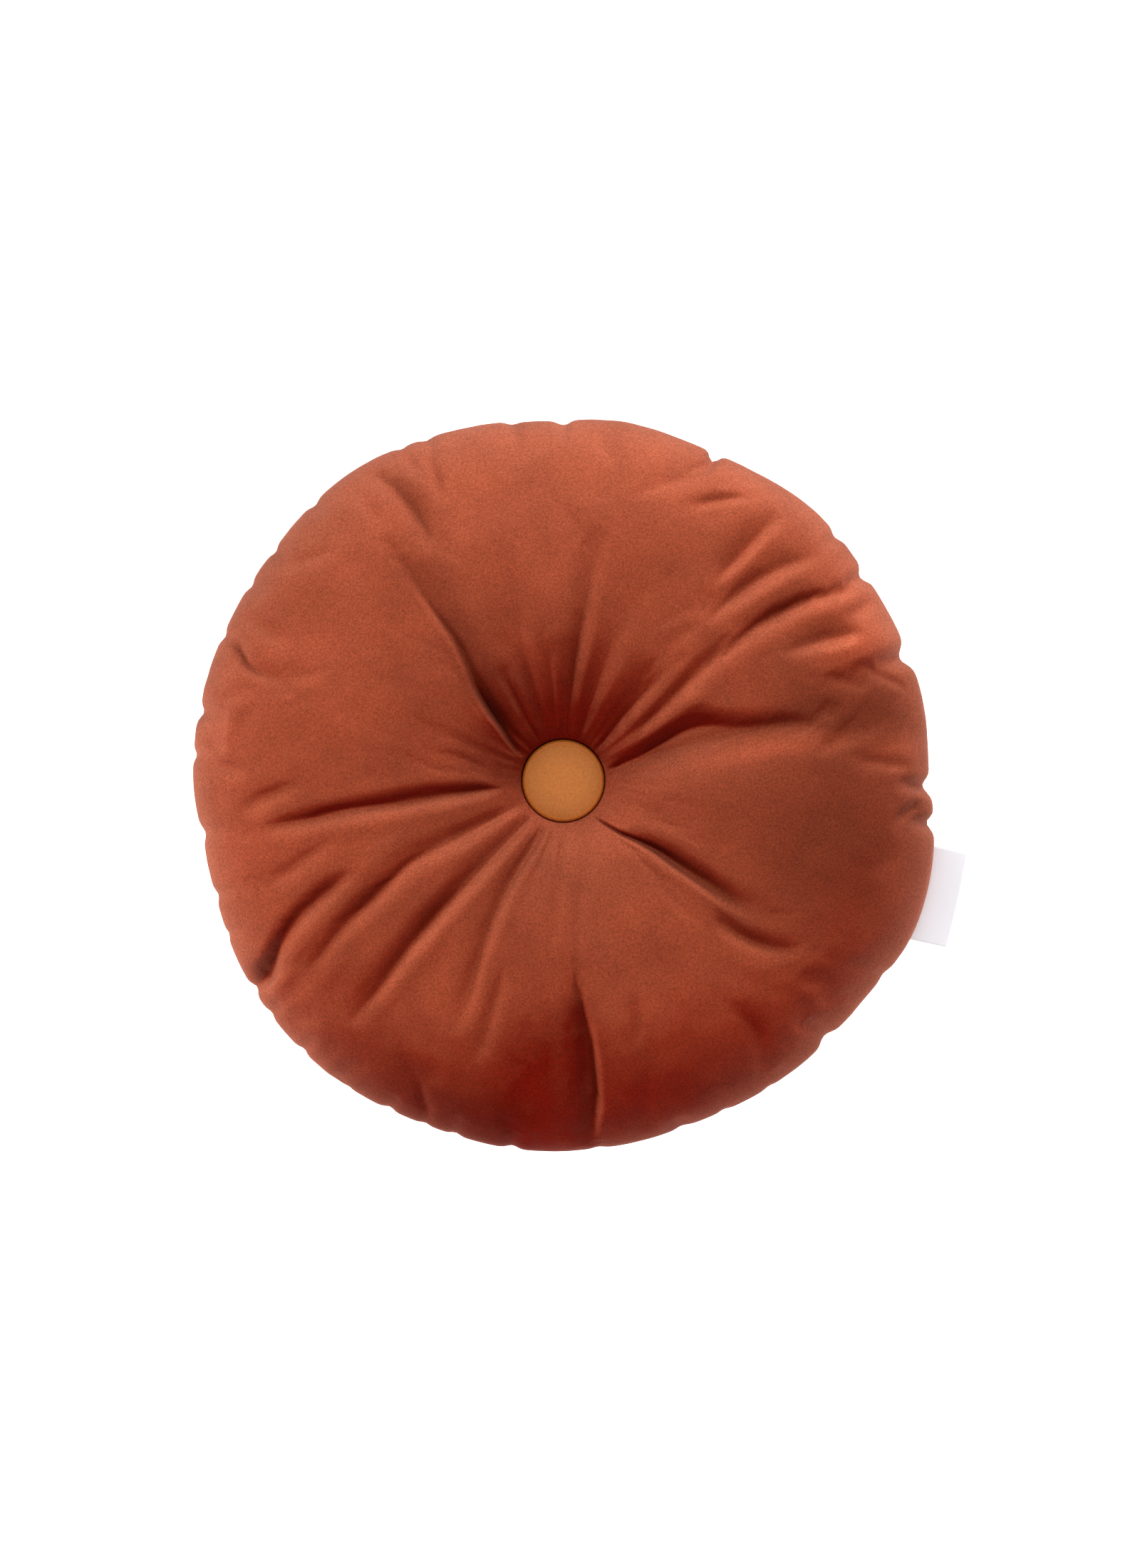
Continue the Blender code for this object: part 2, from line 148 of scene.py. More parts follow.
def back_height(radius):
    """A curve of the same kind that hangs from the seam, cut off level at the floor, with a shallow
    dimple in the middle whose side is the smooth step 3 t^2 - 2 t^3."""
    share = np.clip(radius / CUSHION_RADIUS, 0, 1)
    hang = np.maximum(0, SEAM_HEIGHT - BACK_DROP * (1 - share**BACK_FLATNESS) ** BACK_ROUNDNESS)
    inward = np.clip((BACK_TUFT_RADIUS - radius) / (BACK_TUFT_RADIUS - SEAT_RADIUS), 0, 1)
    return hang + BACK_TUFT_DEPTH * inward * inward * (3 - 2 * inward)


some_radii = np.linspace(SEAT_RADIUS, CUSHION_RADIUS, 200)
print("the crown's top is", round(float(front_height(some_radii).max()), 1), "mm above the floor")

# %% [markdown]
# ## The folds
#
# Each fold is a valley that starts at the button or on the crown and wanders outwards. A row gives
# the half-widths of its two walls, how sharp its bottom is, and a line of points along the bottom,
# each with its radius, its angle and its depth. The near wall is on the side of the smaller angle.
# Spare filling rises beside each valley as a low lip. The tuft's pull has a few deep creases and
# many shallow ones, and no two are alike, so the rows are unequal on purpose. Velvet turns dark
# where it faces away from the light, so a wall's width is read off the dark band that it makes.

# %% The folds that start at the button
Fold = namedtuple("Fold", "near_wall far_wall sharpness line")

TUFT_FOLDS = {
    "east": Fold(17, 8, 1.7, [
        (27, 11, 1.5), (36, 15.3, 4.5), (48, 17.2, 7.5), (62, 19.8, 10), (76, 21.8, 10.5),
        (88, 21.4, 9), (98, 19.4, 6.8), (106, 17, 5.6), (114, 15.2, 5), (126, 14.2, 4.4),
        (138, 13.6, 3.4), (150, 13, 1.2), (160, 12.6, 0)]),
    "east upper": Fold(5.4, 7, 1.9, [
        (46, 32.4, 0), (54, 33.6, 2), (62, 34.8, 4), (75, 36.3, 5.2), (92, 37.9, 5),
        (110, 38.8, 3.8), (126, 38.9, 3.2), (142, 38.6, 3.6), (160, 37.8, 4.8), (182, 36.4, 4.8),
        (198, 35, 2.8), (210, 34, 1.2), (218, 33.6, 0)]),
    "north east inner": Fold(5, 11, 1.6, [
        (28, 42, 1), (36, 44.5, 2.6), (48, 46.4, 4.4), (60, 47, 5), (75, 47.2, 4.4), (92, 46.8, 2),
        (108, 46, 0)]),
    "north inner": Fold(6, 11, 1.8, [
        (28, 69, 1), (40, 70, 2.2), (55, 70.2, 3), (75, 70.4, 2.6), (95, 70.2, 1.2), (115, 69, 0)]),
    "north": Fold(3.6, 7, 1.4, [
        (28, 84.6, 0.8), (40, 84.8, 2.4), (56, 84.5, 3.8), (72, 84, 4.4), (90, 83.3, 4),
        (108, 82.8, 3), (125, 82.3, 2), (142, 81.8, 0.6), (152, 81.6, 0)]),
    "north soft": Fold(5, 9, 2, [
        (28, 108, 0.8), (45, 108, 2.6), (65, 107.8, 3), (85, 107.5, 2), (110, 104, 1),
        (135, 103, 0.6), (155, 102, 0)]),
    "north thread": Fold(3, 4, 1.8, [(28, 96, 0.8), (42, 96.5, 2.2), (62, 96.5, 2), (85, 96, 0)]),
    "north west thread": Fold(3, 5, 1.8, [
        (28, 122, 0.8), (42, 121, 2), (60, 119.5, 1.8), (80, 119, 0)]),
    "north west": Fold(7.5, 2.2, 1.3, [
        (29, 149.5, 1), (35, 146.4, 5), (42, 142.8, 9), (50, 139.4, 11.5), (60, 136.8, 11.5),
        (70, 134.6, 9.6), (80, 132.4, 7.4), (90, 130.2, 5.8), (100, 128.5, 5), (112, 127.6, 4),
        (126, 127.3, 2.8), (142, 127.1, 1.2), (156, 127, 0)]),
    "north west outer": Fold(5, 4.5, 1.8, [
        (146, 127, 0), (156, 127, 0.8), (170, 126.8, 0.8), (185, 126.2, 0.6), (200, 125.6, 1.4),
        (214, 125.6, 1.2), (225, 125.6, 0)]),
    "west": Fold(5.2, 5, 1.9, [
        (36, 187, 0), (46, 187, 2.6), (58, 187, 4.4), (75, 187.1, 4.8), (92, 187.3, 4.8),
        (110, 187.8, 4.8), (130, 188.2, 4.6), (150, 188.7, 4.2), (170, 189, 3), (185, 189.4, 1.2),
        (198, 190, 0)]),
    "south west": Fold(8, 5, 1.8, [
        (27, 207.8, 0.8), (38, 208.4, 2.2), (52, 208.8, 3), (68, 208.6, 3.2), (84, 208, 3),
        (97, 208, 3.2), (110, 209.2, 4), (122, 211, 4.5), (136, 212.4, 4.5), (152, 213.4, 4),
        (168, 214.8, 3.4), (183, 216.2, 2.4), (198, 217.3, 1), (210, 218, 0)]),
    "south west lower": Fold(8, 4.2, 1.9, [
        (27, 228, 1), (36, 228, 3), (48, 227.8, 4), (64, 227.4, 4.4), (82, 227.2, 4.8),
        (102, 227.2, 5.2), (122, 227.5, 5.2), (140, 227.9, 4.6), (158, 228.4, 3.8),
        (174, 228.7, 2.6), (188, 228.7, 0.6), (198, 228.7, 0)]),
    "south south west": Fold(7, 3.6, 1.8, [
        (27, 248.5, 1), (36, 247, 3), (48, 244.6, 4), (62, 243, 4.4), (76, 242.6, 4.4),
        (90, 243, 4), (105, 244, 3.6), (120, 245.2, 3.2), (138, 246.6, 2.4), (154, 247.2, 1),
        (166, 247.4, 0)]),
    "south soft left": Fold(2.6, 2.6, 1.8, [
        (27, 259, 0.4), (38, 257, 1), (52, 254.5, 0.8), (70, 252, 0)]),
    "south soft middle": Fold(3, 3, 1.8, [
        (27, 269, 0.4), (40, 268.4, 0.9), (58, 267.6, 0.8), (80, 267, 0.4), (100, 268, 0)]),
    "south soft right": Fold(4, 4, 2, [
        (32, 290, 0.2), (48, 286, 0.9), (64, 280, 0.8), (80, 276, 0.4), (95, 274, 0)]),
    "south east crease": Fold(1.7, 2.2, 1.4, [
        (29, 310, 1), (36, 313.4, 3), (44, 316.2, 4.2), (52, 318.8, 4.6), (60, 321.2, 4.2),
        (70, 323, 3.2), (82, 323.4, 2.4), (96, 323.2, 2), (110, 322.8, 1.4), (124, 322.6, 0.6),
        (134, 322.4, 0)]),
    "south east": Fold(4.0, 5.4, 2.0, [
        (46, 318.8, 0), (54, 321.6, 2.4), (63, 323.4, 4.6), (75, 324.2, 6), (90, 324.6, 6.4),
        (105, 324.8, 6), (118, 324.6, 4.2), (130, 324.4, 2), (142, 324.2, 0)]),
}
print(len(TUFT_FOLDS), "folds start at the button")

# %% The folds further out on the crown
OUTER_FOLDS = {
    "east shelf": Fold(20, 32, 1.8, [
        (140, 12, 0), (152, 11.6, 1), (166, 11.2, 2.2), (182, 11, 3.2), (196, 11, 4),
        (208, 11.4, 3.8), (218, 12, 3), (226, 12.4, 2)]),
    "east outer": Fold(3.4, 10, 1.7, [
        (150, 30.4, 0), (162, 29.4, 2), (176, 28.2, 4), (188, 27.2, 4.6), (196, 26.8, 3.4),
        (203, 26.8, 0)]),
    "east rim": Fold(4, 4, 1.8, [(196, 29.6, 0), (205, 29.8, 2), (215, 30, 2), (225, 30.2, 0.8)]),
    "north east": Fold(4, 10, 1.8, [
        (124, 48, 0), (138, 47.6, 2.4), (152, 46.6, 4.8), (168, 45.6, 5.4), (184, 44.2, 4.6),
        (198, 42.6, 2.8), (210, 41.6, 0)]),
    "north east outer": Fold(3, 9, 1.8, [
        (146, 52.6, 0), (158, 52.2, 2.8), (170, 51.6, 5.2), (184, 51.4, 5.2), (198, 51, 2.8),
        (208, 50.6, 0)]),
    "north east short": Fold(3, 5.5, 1.8, [
        (182, 64.5, 0), (188, 62.6, 2), (194, 60.6, 2.8), (200, 58.6, 2), (205, 57, 0)]),
    "north west streak": Fold(6.5, 5.5, 1.9, [
        (158, 118.2, 0), (176, 119, 1.8), (198, 119.8, 2.8), (212, 120.8, 2.2), (224, 122, 0.6)]),
    "north west streak left": Fold(4, 4, 1.8, [
        (180, 113.6, 0), (194, 113, 2), (208, 112.6, 1.8), (220, 112, 0)]),
    "west upper": Fold(5.5, 6.5, 2, [
        (150, 180.4, 0), (162, 181.2, 1.4), (174, 182.6, 2.4), (186, 184, 2.2), (200, 185, 0)]),
    "west lower": Fold(6, 7, 2, [
        (136, 195, 0), (148, 195.6, 1.4), (162, 197, 2.2), (176, 198.4, 2.2), (190, 198.6, 1.2),
        (205, 198.6, 0)]),
    "south west upper": Fold(8, 5.4, 2.0, [
        (128, 202, 0), (140, 203.8, 1.4), (150, 205, 3.2), (162, 206, 4.2), (176, 207.2, 4.4),
        (188, 208.8, 4.6), (199, 210.8, 4.6), (210, 212.6, 4.6), (226, 213.5, 4)]),
    "south west outer": Fold(7, 7, 1.8, [
        (110, 236.5, 0), (128, 236, 1.2), (146, 235.6, 1), (162, 235.4, 0)]),
    "south outer": Fold(6, 4, 1.8, [
        (112, 253, 0), (126, 253, 1.6), (146, 253, 2.4), (166, 253, 1.6), (184, 253, 0)]),
    "south": Fold(15, 2.2, 1.3, [
        (108, 273.4, 0), (118, 273.8, 1.4), (132, 274.8, 3.4), (145, 275.6, 5.4), (160, 276.2, 7.4),
        (175, 276.4, 8.2), (192, 276.2, 8), (206, 275.6, 6.4), (216, 275, 4.2), (226, 274.5, 2)]),
    "south east outer": Fold(7, 5.4, 1.8, [
        (120, 317.6, 0), (128, 317.9, 2.4), (138, 318.5, 3.8), (148, 319.4, 3.8), (158, 320.8, 3.2),
        (168, 322.6, 2), (177, 324.6, 0)]),
}
print(len(OUTER_FOLDS), "folds lie further out")

# %% The short folds at the rim
RIM_FOLDS = {
    "east a": Fold(3, 4, 1.8, [(196, 20, 0), (203, 18.4, 1), (210, 16.4, 1.3), (218, 14.4, 0)]),
    "east c": Fold(3.4, 3.4, 1.8, [
        (176, 3.8, 0), (188, 3.4, 0.7), (200, 3, 0.9), (212, 2.6, 0.5), (222, 2.4, 0)]),
    "notch": Fold(3, 3, 1.5, [(200, 67.5, 0), (206, 67, 0.8), (212, 66, 1.6), (220, 65, 1.6)]),
    "north west": Fold(3.5, 3.5, 1.7, [
        (200, 115.2, 0), (208, 115.3, 1.4), (216, 115.5, 2), (224, 115.8, 0.8)]),
    "hook": Fold(5, 3.2, 1.7, [
        (176, 160.4, 0), (188, 160.5, 1.8), (198, 160.4, 3.2), (206, 159.6, 4.8), (212, 158.2, 4.4),
        (219, 157.3, 3), (226, 157, 0.8)]),
    "hook left": Fold(4, 4, 1.8, [
        (186, 153.4, 0), (198, 153, 2), (210, 152.6, 1.4), (220, 152.4, 0)]),
    "west a": Fold(3, 3, 1.6, [
        (204, 174.4, 0), (211, 174.2, 3.6), (219, 173.6, 4), (227, 173, 1.4)]),
    "west b": Fold(3.4, 4, 1.8, [
        (190, 178.4, 0), (200, 178, 2.4), (209, 177.4, 2.4), (220, 176.6, 1.5)]),
    "south west notch": Fold(5.5, 3, 1.6, [
        (194, 209.2, 0), (200, 210.4, 3), (206, 211.8, 5), (212, 213, 5.5), (219, 213.8, 5),
        (227, 214, 3)]),
    "south west rim crease": Fold(3, 2, 1.6, [
        (200, 244, 0), (208, 245.5, 1.4), (216, 247, 2), (224, 248, 1.2)]),
    "south a": Fold(9, 7, 2, [(180, 285, 0), (195, 284.5, 1.2), (208, 284, 1.2), (222, 283, 0.5)]),
    "south b": Fold(5, 5, 2, [(132, 289, 0), (145, 288, 1.0), (158, 286.5, 1.0), (170, 285, 0)]),
    "south east b": Fold(5, 5, 1.8, [
        (166, 306.4, 0), (178, 307.4, 0.9), (190, 307.6, 1.3), (202, 306.4, 0.9), (214, 305.6, 0)]),
    "east south a": Fold(3, 3, 1.5, [
        (202, 353.4, 0), (208, 354.4, 2.4), (214, 355.6, 3.4), (222, 356.4, 2.4)]),
    "east south b": Fold(3, 3, 1.5, [
        (206, 359.6, 0), (212, 359.4, 1.4), (218, 359.2, 2), (225, 359, 1)]),
}
print(len(RIM_FOLDS), "short folds lie at the rim")

# %% How far the folds lower the front
FOLD_GAIN = 1.12  # every fold is this many times as deep as its row says
FULL_WIDTH_FROM = 80.0  # nearer to the button than this, a fold is narrower
NARROWEST = 0.35  # the least share of its width
FOLD_TAIL = 2.0  # how far a fold goes on past the last point of its line
LIP_SHARE = 0.07  # a lip's height, as a share of the fold's depth
LIP_PLACE = 2.2  # its distance from the bottom, in half-widths
LIP_WIDTH = 0.8


def fold_height(radius, angle):
    """How far the folds lower the front. A valley's walls fall off as
    exp(-(distance / half-width) ** sharpness), and its lips are a bell curve on either side."""
    height = np.zeros_like(radius)
    for fold in [*TUFT_FOLDS.values(), *OUTER_FOLDS.values(), *RIM_FOLDS.values()]:
        bottom = through(radius, [(r, a) for r, a, _ in fold.line])
        depth = through(radius, [(r, d) for r, _, d in fold.line])
        inside = (radius >= fold.line[0][0]) & (radius <= fold.line[-1][0] + FOLD_TAIL)
        depth = np.where(inside, np.maximum(depth, 0), 0)
        narrowing = np.clip(radius / FULL_WIDTH_FROM, NARROWEST, 1)
        across = arc_from(angle, bottom, radius) / narrowing
        away = np.abs(across) / np.where(across < 0, fold.near_wall, fold.far_wall)
        valley = np.exp(-(away**fold.sharpness))
        lip = LIP_SHARE * np.exp(-(((away - LIP_PLACE) / LIP_WIDTH) ** 2))
        height -= FOLD_GAIN * depth * (valley - lip)
    return height


# %% [markdown]
# ## The uneven filling
#
# Fibre filling never lies evenly. A few low swellings and hollows on the crown catch the light as
# soft patches between the folds. Most are wide, and two narrow ones run along the west rim. A bell
# curve for each is enough, because nothing about them is sharp.

# %% The rows of swellings
Swelling = namedtuple("Swelling", "radius angle out around height")

SWELLINGS = {
    "crest by the east shelf": Swelling(198, 25, 36, 14, 4.0),
    "north of the button": Swelling(98, 95, 34, 62, 2.5),
    "east cheek": Swelling(95, 348, 40, 40, 1.5),
    "east shoulder": Swelling(158, 352, 42, 52, 2.5),
    "north crown": Swelling(150, 95, 40, 60, 1.5),
    "north east hollow": Swelling(120, 62, 40, 24, -1.5),
    "west crown": Swelling(140, 165, 50, 50, 1.5),
    "south west hollow": Swelling(190, 236, 25, 34, -2.0),
    "west rim ridge": Swelling(204, 169.5, 5, 16, 1.6),
    "west rim hollow": Swelling(193, 168.5, 6, 14, -1.4),
    "south crown": Swelling(140, 290, 40, 40, 1.5),
}


def swelling_height(radius, angle):
    """The sum of the swellings, each a bell curve outwards and along the circle."""
    height = np.zeros_like(radius)
    for one in SWELLINGS.values():
        out = (radius - one.radius) / one.out
        along = arc_from(angle, one.angle, one.radius) / one.around
        height += one.height * np.exp(-(out**2) - along**2)
    return height


print(len(SWELLINGS), "swellings, up to", max(one.height for one in SWELLINGS.values()), "mm high")

# %% [markdown]
# ## The rim
#
# The seam's thread is a little tighter than the cloth, so the rim is scalloped: it puffs out
# between places where the seam holds it back. Deep pinches are rows in a table. The many small
# puckers in between are a sum of waves around the rim, which die out within a few centimetres.

# %% The rim's outline
# Angle, and the outline's radius as a share of the mean one.
RIM_SHAPE = [
    (0, 0.997), (15, 1.000), (30, 0.993), (48, 1.000), (60, 0.984), (70, 0.981), (80, 0.986),
    (90, 0.979), (105, 0.992), (125, 1.016), (145, 1.004), (165, 1.006), (180, 1.004),
    (190, 0.991), (200, 0.996), (210, 1.011), (230, 1.018), (250, 1.005), (262, 1.008),
    (275, 1.003), (290, 0.995), (310, 1.005), (325, 1.011), (335, 1.034), (345, 1.030),
    (352, 1.017),
]


def rim_radius(angle):
    """The mean radius times the smooth curve through the outline's points."""
    return CUSHION_RADIUS * around(angle, RIM_SHAPE)


outline = rim_radius(np.arange(360.0))
print("the rim's radius goes from", round(outline.min(), 1), "to", round(outline.max(), 1), "mm")

# %% The pinches
Pinch = namedtuple("Pinch", "angle depth half_width run")
PINCHES = [
    Pinch(20.0, 5.4, 7.0, 16),
    Pinch(34.4, 3.6, 5.0, 16),
    Pinch(42.0, 2.0, 4.5, 12),
    Pinch(65.0, 5.4, 4.0, 10),
    Pinch(90.0, 2.6, 5.0, 8),
    Pinch(98.0, 1.3, 4.0, 10),
    Pinch(112.0, 1.3, 3.5, 10),
    Pinch(116.0, 1.4, 3.5, 12),
    Pinch(132.0, 1.7, 4.0, 10),
    Pinch(141.5, 1.5, 3.5, 10),
    Pinch(148.0, 1.4, 3.5, 10),
    Pinch(156.8, 1.6, 3.5, 12),
    Pinch(169.2, 2.7, 4.0, 12),
    Pinch(176.0, 1.9, 3.5, 12),
    Pinch(188.4, 2.0, 5.0, 12),
    Pinch(198.3, 1.8, 4.0, 10),
    Pinch(204.5, 1.2, 3.0, 9),
    Pinch(214.0, 2.6, 4.0, 24),
    Pinch(218.5, 1.5, 3.5, 10),
    Pinch(226.0, 1.6, 3.5, 10),
    Pinch(235.0, 0.8, 3.0, 8),
    Pinch(242.0, 1.6, 3.5, 11),
    Pinch(248.0, 1.1, 3.0, 10),
    Pinch(253.0, 1.4, 3.5, 10),
    Pinch(262.0, 1.7, 4.0, 11),
    Pinch(275.5, 0.8, 4.0, 10),
    Pinch(289.0, 1.0, 5.0, 10),
    Pinch(296.0, 0.9, 4.0, 9),
    Pinch(304.0, 0.8, 4.0, 8),
    Pinch(315.7, 3.0, 6.0, 11),
    Pinch(329.0, 1.2, 5.0, 8),
    Pinch(353.4, 4.4, 4.5, 12),
    Pinch(359.2, 4.8, 5.0, 12),
]


def pinch_depth(angle, from_rim):
    """How far the seam draws the cloth in: a bell curve along the rim times one inwards."""
    depth = np.zeros_like(from_rim)
    for pinch in PINCHES:
        across = arc_from(angle, pinch.angle, CUSHION_RADIUS) / pinch.half_width
        depth += pinch.depth * np.exp(-(across**2) - (from_rim / pinch.run) ** 2)
    return depth


print(len(PINCHES), "pinches, up to", max(pinch.depth for pinch in PINCHES), "mm deep")

# %% The puckers
WAVES = 14  # how many waves one sum has
PUCKER_DEPTH = 0.34
PUCKER_RUN = 9.0  # how far in they go
PUCKER_START = 1.5  # this near to the seam they are shallower
PUCKERS_AROUND = (36, 120)  # the fewest and the most in one turn
PUCKER_MEAN = 0.6
PUCKER_SWING = 0.8
UNEVEN_AROUND = (4, 17)  # how often they come and go


def random_waves(angle, counts, seed):
    """A sum of sine waves, each a whole number of times around, with a random phase. Dividing by
    the root of how many there are keeps its size the same, however many there are."""
    wave_rng = np.random.default_rng(seed)
    total = np.zeros_like(angle)
    waves = wave_rng.integers(counts[0], counts[1], WAVES)
    for count, phase in zip(waves, wave_rng.uniform(0, 2 * math.pi, WAVES)):
        total += np.sin(count * np.radians(angle) + phase)
    return total / math.sqrt(len(waves))


def pucker_depth(angle, from_rim, seed):
    """Small gathers at the seam: fast waves, times slow ones that make them come and go, times a
    bell curve inwards. They are deepest a few millimetres in from the seam."""
    near = np.exp(-((from_rim / PUCKER_RUN) ** 2)) * np.clip(from_rim / PUCKER_START, 0.25, 1)
    slow = random_waves(angle, UNEVEN_AROUND, seed + 1)
    strength = np.clip(PUCKER_MEAN + PUCKER_SWING * slow, 0.1, 2)
    return PUCKER_DEPTH * near * strength * random_waves(angle, PUCKERS_AROUND, seed)


full_turn = np.arange(360.0)
deepest = np.abs(pucker_depth(full_turn, np.full(360, PUCKER_START), 3)).max()
print("the puckers are up to", round(float(deepest), 2), "mm deep")

# %% [markdown]
# ## Fine pleats and ripples
#
# Between the main folds the tuft's pull leaves short, shallow pleats round the button, most of them
# to its north. They are the same kind of waves as the rim's puckers, and die away as the funnel
# does. A faint ripple over the whole front is left by fibre that lies unevenly under the cloth.
# Neither follows a plan on the real cushion, so random waves from a fixed seed stand for them.

# %% The pleats
PLEATS_AROUND = (22, 48)
PLEAT_DEPTH = 0.95
PLEAT_REACH = 28.0
PLEATS_MIDDLE = 98.0  # the angle where they are deepest
PLEATS_SPREAD = 50.0
PLEATS_ELSEWHERE = 0.15  # the share of them on the far side of the button
PLEAT_SEED = 21


def pleat_height(radius, angle):
    """Waves around the button that fade as exp(-distance / reach), and as exp(-t ** 4) to both
    sides of their middle."""
    near = np.exp(-np.clip(radius - SEAT_RADIUS, 0, None) / PLEAT_REACH)
    beside = ((angle - PLEATS_MIDDLE + 180) % 360 - 180) / PLEATS_SPREAD
    near = near * (PLEATS_ELSEWHERE + (1 - PLEATS_ELSEWHERE) * np.exp(-(beside**4)))
    return PLEAT_DEPTH * near * random_waves(angle, PLEATS_AROUND, PLEAT_SEED)


steepest = np.abs(pleat_height(np.full(360, SEAT_RADIUS), full_turn)).max()
print("the pleats are up to", round(float(steepest), 2), "mm high")

# %% The ripple
RIPPLE_HEIGHT = 0.10
RIPPLE_WAVES = 30
RIPPLE_LENGTHS = (14, 45)
RIPPLE_SEED = 11


def ripple(x, y):
    """A sum of plane sine waves, each with a random heading, phase and length."""
    ripple_rng = np.random.default_rng(RIPPLE_SEED)
    total = np.zeros_like(x)
    for _ in range(RIPPLE_WAVES):
        heading, phase = ripple_rng.uniform(0, 2 * math.pi, 2)
        length = ripple_rng.uniform(*RIPPLE_LENGTHS)
        along = x * math.cos(heading) + y * math.sin(heading)
        total += np.sin(2 * math.pi * along / length + phase)
    return total / math.sqrt(RIPPLE_WAVES)


sample = RIPPLE_HEIGHT * ripple(some_radii, 0 * some_radii)
print("the ripple is about", round(float(sample.std()), 2), "mm high")

# %% [markdown]
# ## From a profile to the cushion's surface
#
# The surface is a grid. Its columns are angles around the tuft. Its rings run from the front
# button's seat over the rim to the back button's seat, closest together at the rim, where the
# profile turns fastest. Each ring starts as a circle, takes the rim's outline the more the
# further out it lies, and is then pushed by the folds, the filling and the seam. Two single points
# close it under the buttons.

# %% Make a closed mesh from a grid of rings


def closed_surface(name, rings, top, bottom):
    """A mesh from rings[ring, column, xyz], closed by a fan of triangles at either end. The rings
    run from top to bottom and the columns counter-clockwise, so the faces point outwards."""
    count, columns, _ = rings.shape
    points = np.vstack([rings.reshape(-1, 3), top, bottom]) * MM
    points[:, :2] += TUFT_X, TUFT_Y
    ring, column = np.meshgrid(np.arange(count - 1), np.arange(columns), indexing="ij")
    here = ring * columns + column
    beside = ring * columns + (column + 1) % columns
    quads = np.stack([here, here + columns, beside + columns, beside], -1).reshape(-1, 4)
    first = np.arange(columns)
    after = (first + 1) % columns
    last = (count - 1) * columns
    ends = count * columns
    fans = [np.stack([np.full(columns, ends), first, after], -1)]
    fans += [np.stack([np.full(columns, ends + 1), last + after, last + first], -1)]
    mesh = bpy.data.meshes.new(name)
    mesh.from_pydata(points.tolist(), [], quads.tolist() + np.vstack(fans).tolist())
    mesh.shade_smooth()
    mesh.validate()
    obj = bpy.data.objects.new(name, mesh)
    bpy.context.scene.collection.objects.link(obj)
    print(name, "has", len(mesh.vertices), "points and", len(mesh.polygons), "faces")
    return obj


# %% The profile that all columns share
COLUMNS = 576
FRONT_RINGS = 110
BACK_RINGS = 48
FRONT_CROWDING = 1.2  # how far the rings leave the button for the rim
BACK_CROWDING = 0.9


def plain_profile():
    """Each ring's radius and height, and whether it is on the front. The radius is the sine of a
    power of the ring's number, so the rings lie close together at the rim."""
    inner = SEAT_RADIUS + COLLAR_WIDTH
    out = np.linspace(0, 1, FRONT_RINGS)
    front = inner + (CUSHION_RADIUS - inner) * np.sin(out**FRONT_CROWDING * math.pi / 2)
    front = np.append([SEAT_RADIUS], front)
    out = np.linspace(1, 0, BACK_RINGS + 1)[1:]
    turned = np.sin(out**BACK_CROWDING * math.pi / 2)
    back = SEAT_RADIUS + (CUSHION_RADIUS - SEAT_RADIUS) * turned
    radius = np.append(front, back)
    height = np.append(front_height(front), back_height(back))
    return radius, height, np.arange(len(radius)) < len(front)


print("the profile has", len(plain_profile()[0]), "points")

# %% Push the profile out of its round
BUTTON_EASE = 8.0  # the folds reach their full depth this far from the button
RIM_EASE = 12.0  # and lose it this near to the seam
SEAM_GROOVE = 1.8
SEAM_GROOVE_WIDTH = 1.6
CORE_RADIUS = 150.0  # the seam draws the cloth towards a ring of this radius, level with itself
FRONT_SEED = 3
BACK_SEED = 5


def front_relief(radius, angle, stretch):
    """Folds, swellings, pleats and ripple together, faded at the button's edge and at the seam."""
    turn = np.radians(angle)
    relief = fold_height(radius * stretch, angle) + swelling_height(radius, angle)
    relief += pleat_height(radius, angle)
    relief += RIPPLE_HEIGHT * ripple(radius * np.cos(turn), radius * np.sin(turn))
    relief *= np.clip((radius - SEAT_RADIUS) / BUTTON_EASE, 0, 1)
    return relief * np.clip((CUSHION_RADIUS - radius) / RIM_EASE, 0, 1)


def seam_pull(radius, height, angle, is_front):
    """How far the seam pulls each point, inwards and down: the depths of pinches, groove and
    puckers added up, along the straight line to the core ring."""
    from_rim = CUSHION_RADIUS - radius
    pull = pinch_depth(angle, from_rim)
    pull += SEAM_GROOVE * np.exp(-(((height - SEAM_HEIGHT) / SEAM_GROOVE_WIDTH) ** 2))
    front_puckers = pucker_depth(angle, from_rim, FRONT_SEED)
    back_puckers = pucker_depth(angle, from_rim, BACK_SEED)
    pull += np.where(is_front, front_puckers, back_puckers)
    out = radius - CORE_RADIUS
    up = height - SEAM_HEIGHT
    length = np.hypot(out, up)
    inwards = np.where(out > 0, pull * out / length, 0)
    down = np.where((out > 0) & (height > 0), pull * up / length, 0)
    return inwards, down


def cushion_rings():
    """The grid of points, as rings[ring, column, xyz]: radius times the outline's stretch, less the
    pull inwards, and height plus relief, less the pull down, but never below the floor."""
    plain_radius, plain_height, on_front = plain_profile()
    angle, radius = np.meshgrid(np.arange(COLUMNS) * 360 / COLUMNS, plain_radius)
    height = np.repeat(plain_height[:, None], COLUMNS, 1)
    is_front = np.repeat(on_front[:, None], COLUMNS, 1)
    share = np.clip((radius - BUTTON_RADIUS) / (CUSHION_RADIUS - BUTTON_RADIUS), 0, 1)
    stretch = 1 + (rim_radius(angle) / CUSHION_RADIUS - 1) * share
    relief = np.where(is_front, front_relief(radius, angle, stretch), 0)
    inwards, down = seam_pull(radius, height, angle, is_front)
    new_radius = radius * stretch - inwards
    new_height = np.maximum(height - down + relief, 0)
    turn = np.radians(angle)
    return np.stack([new_radius * np.cos(turn), new_radius * np.sin(turn), new_height], -1)


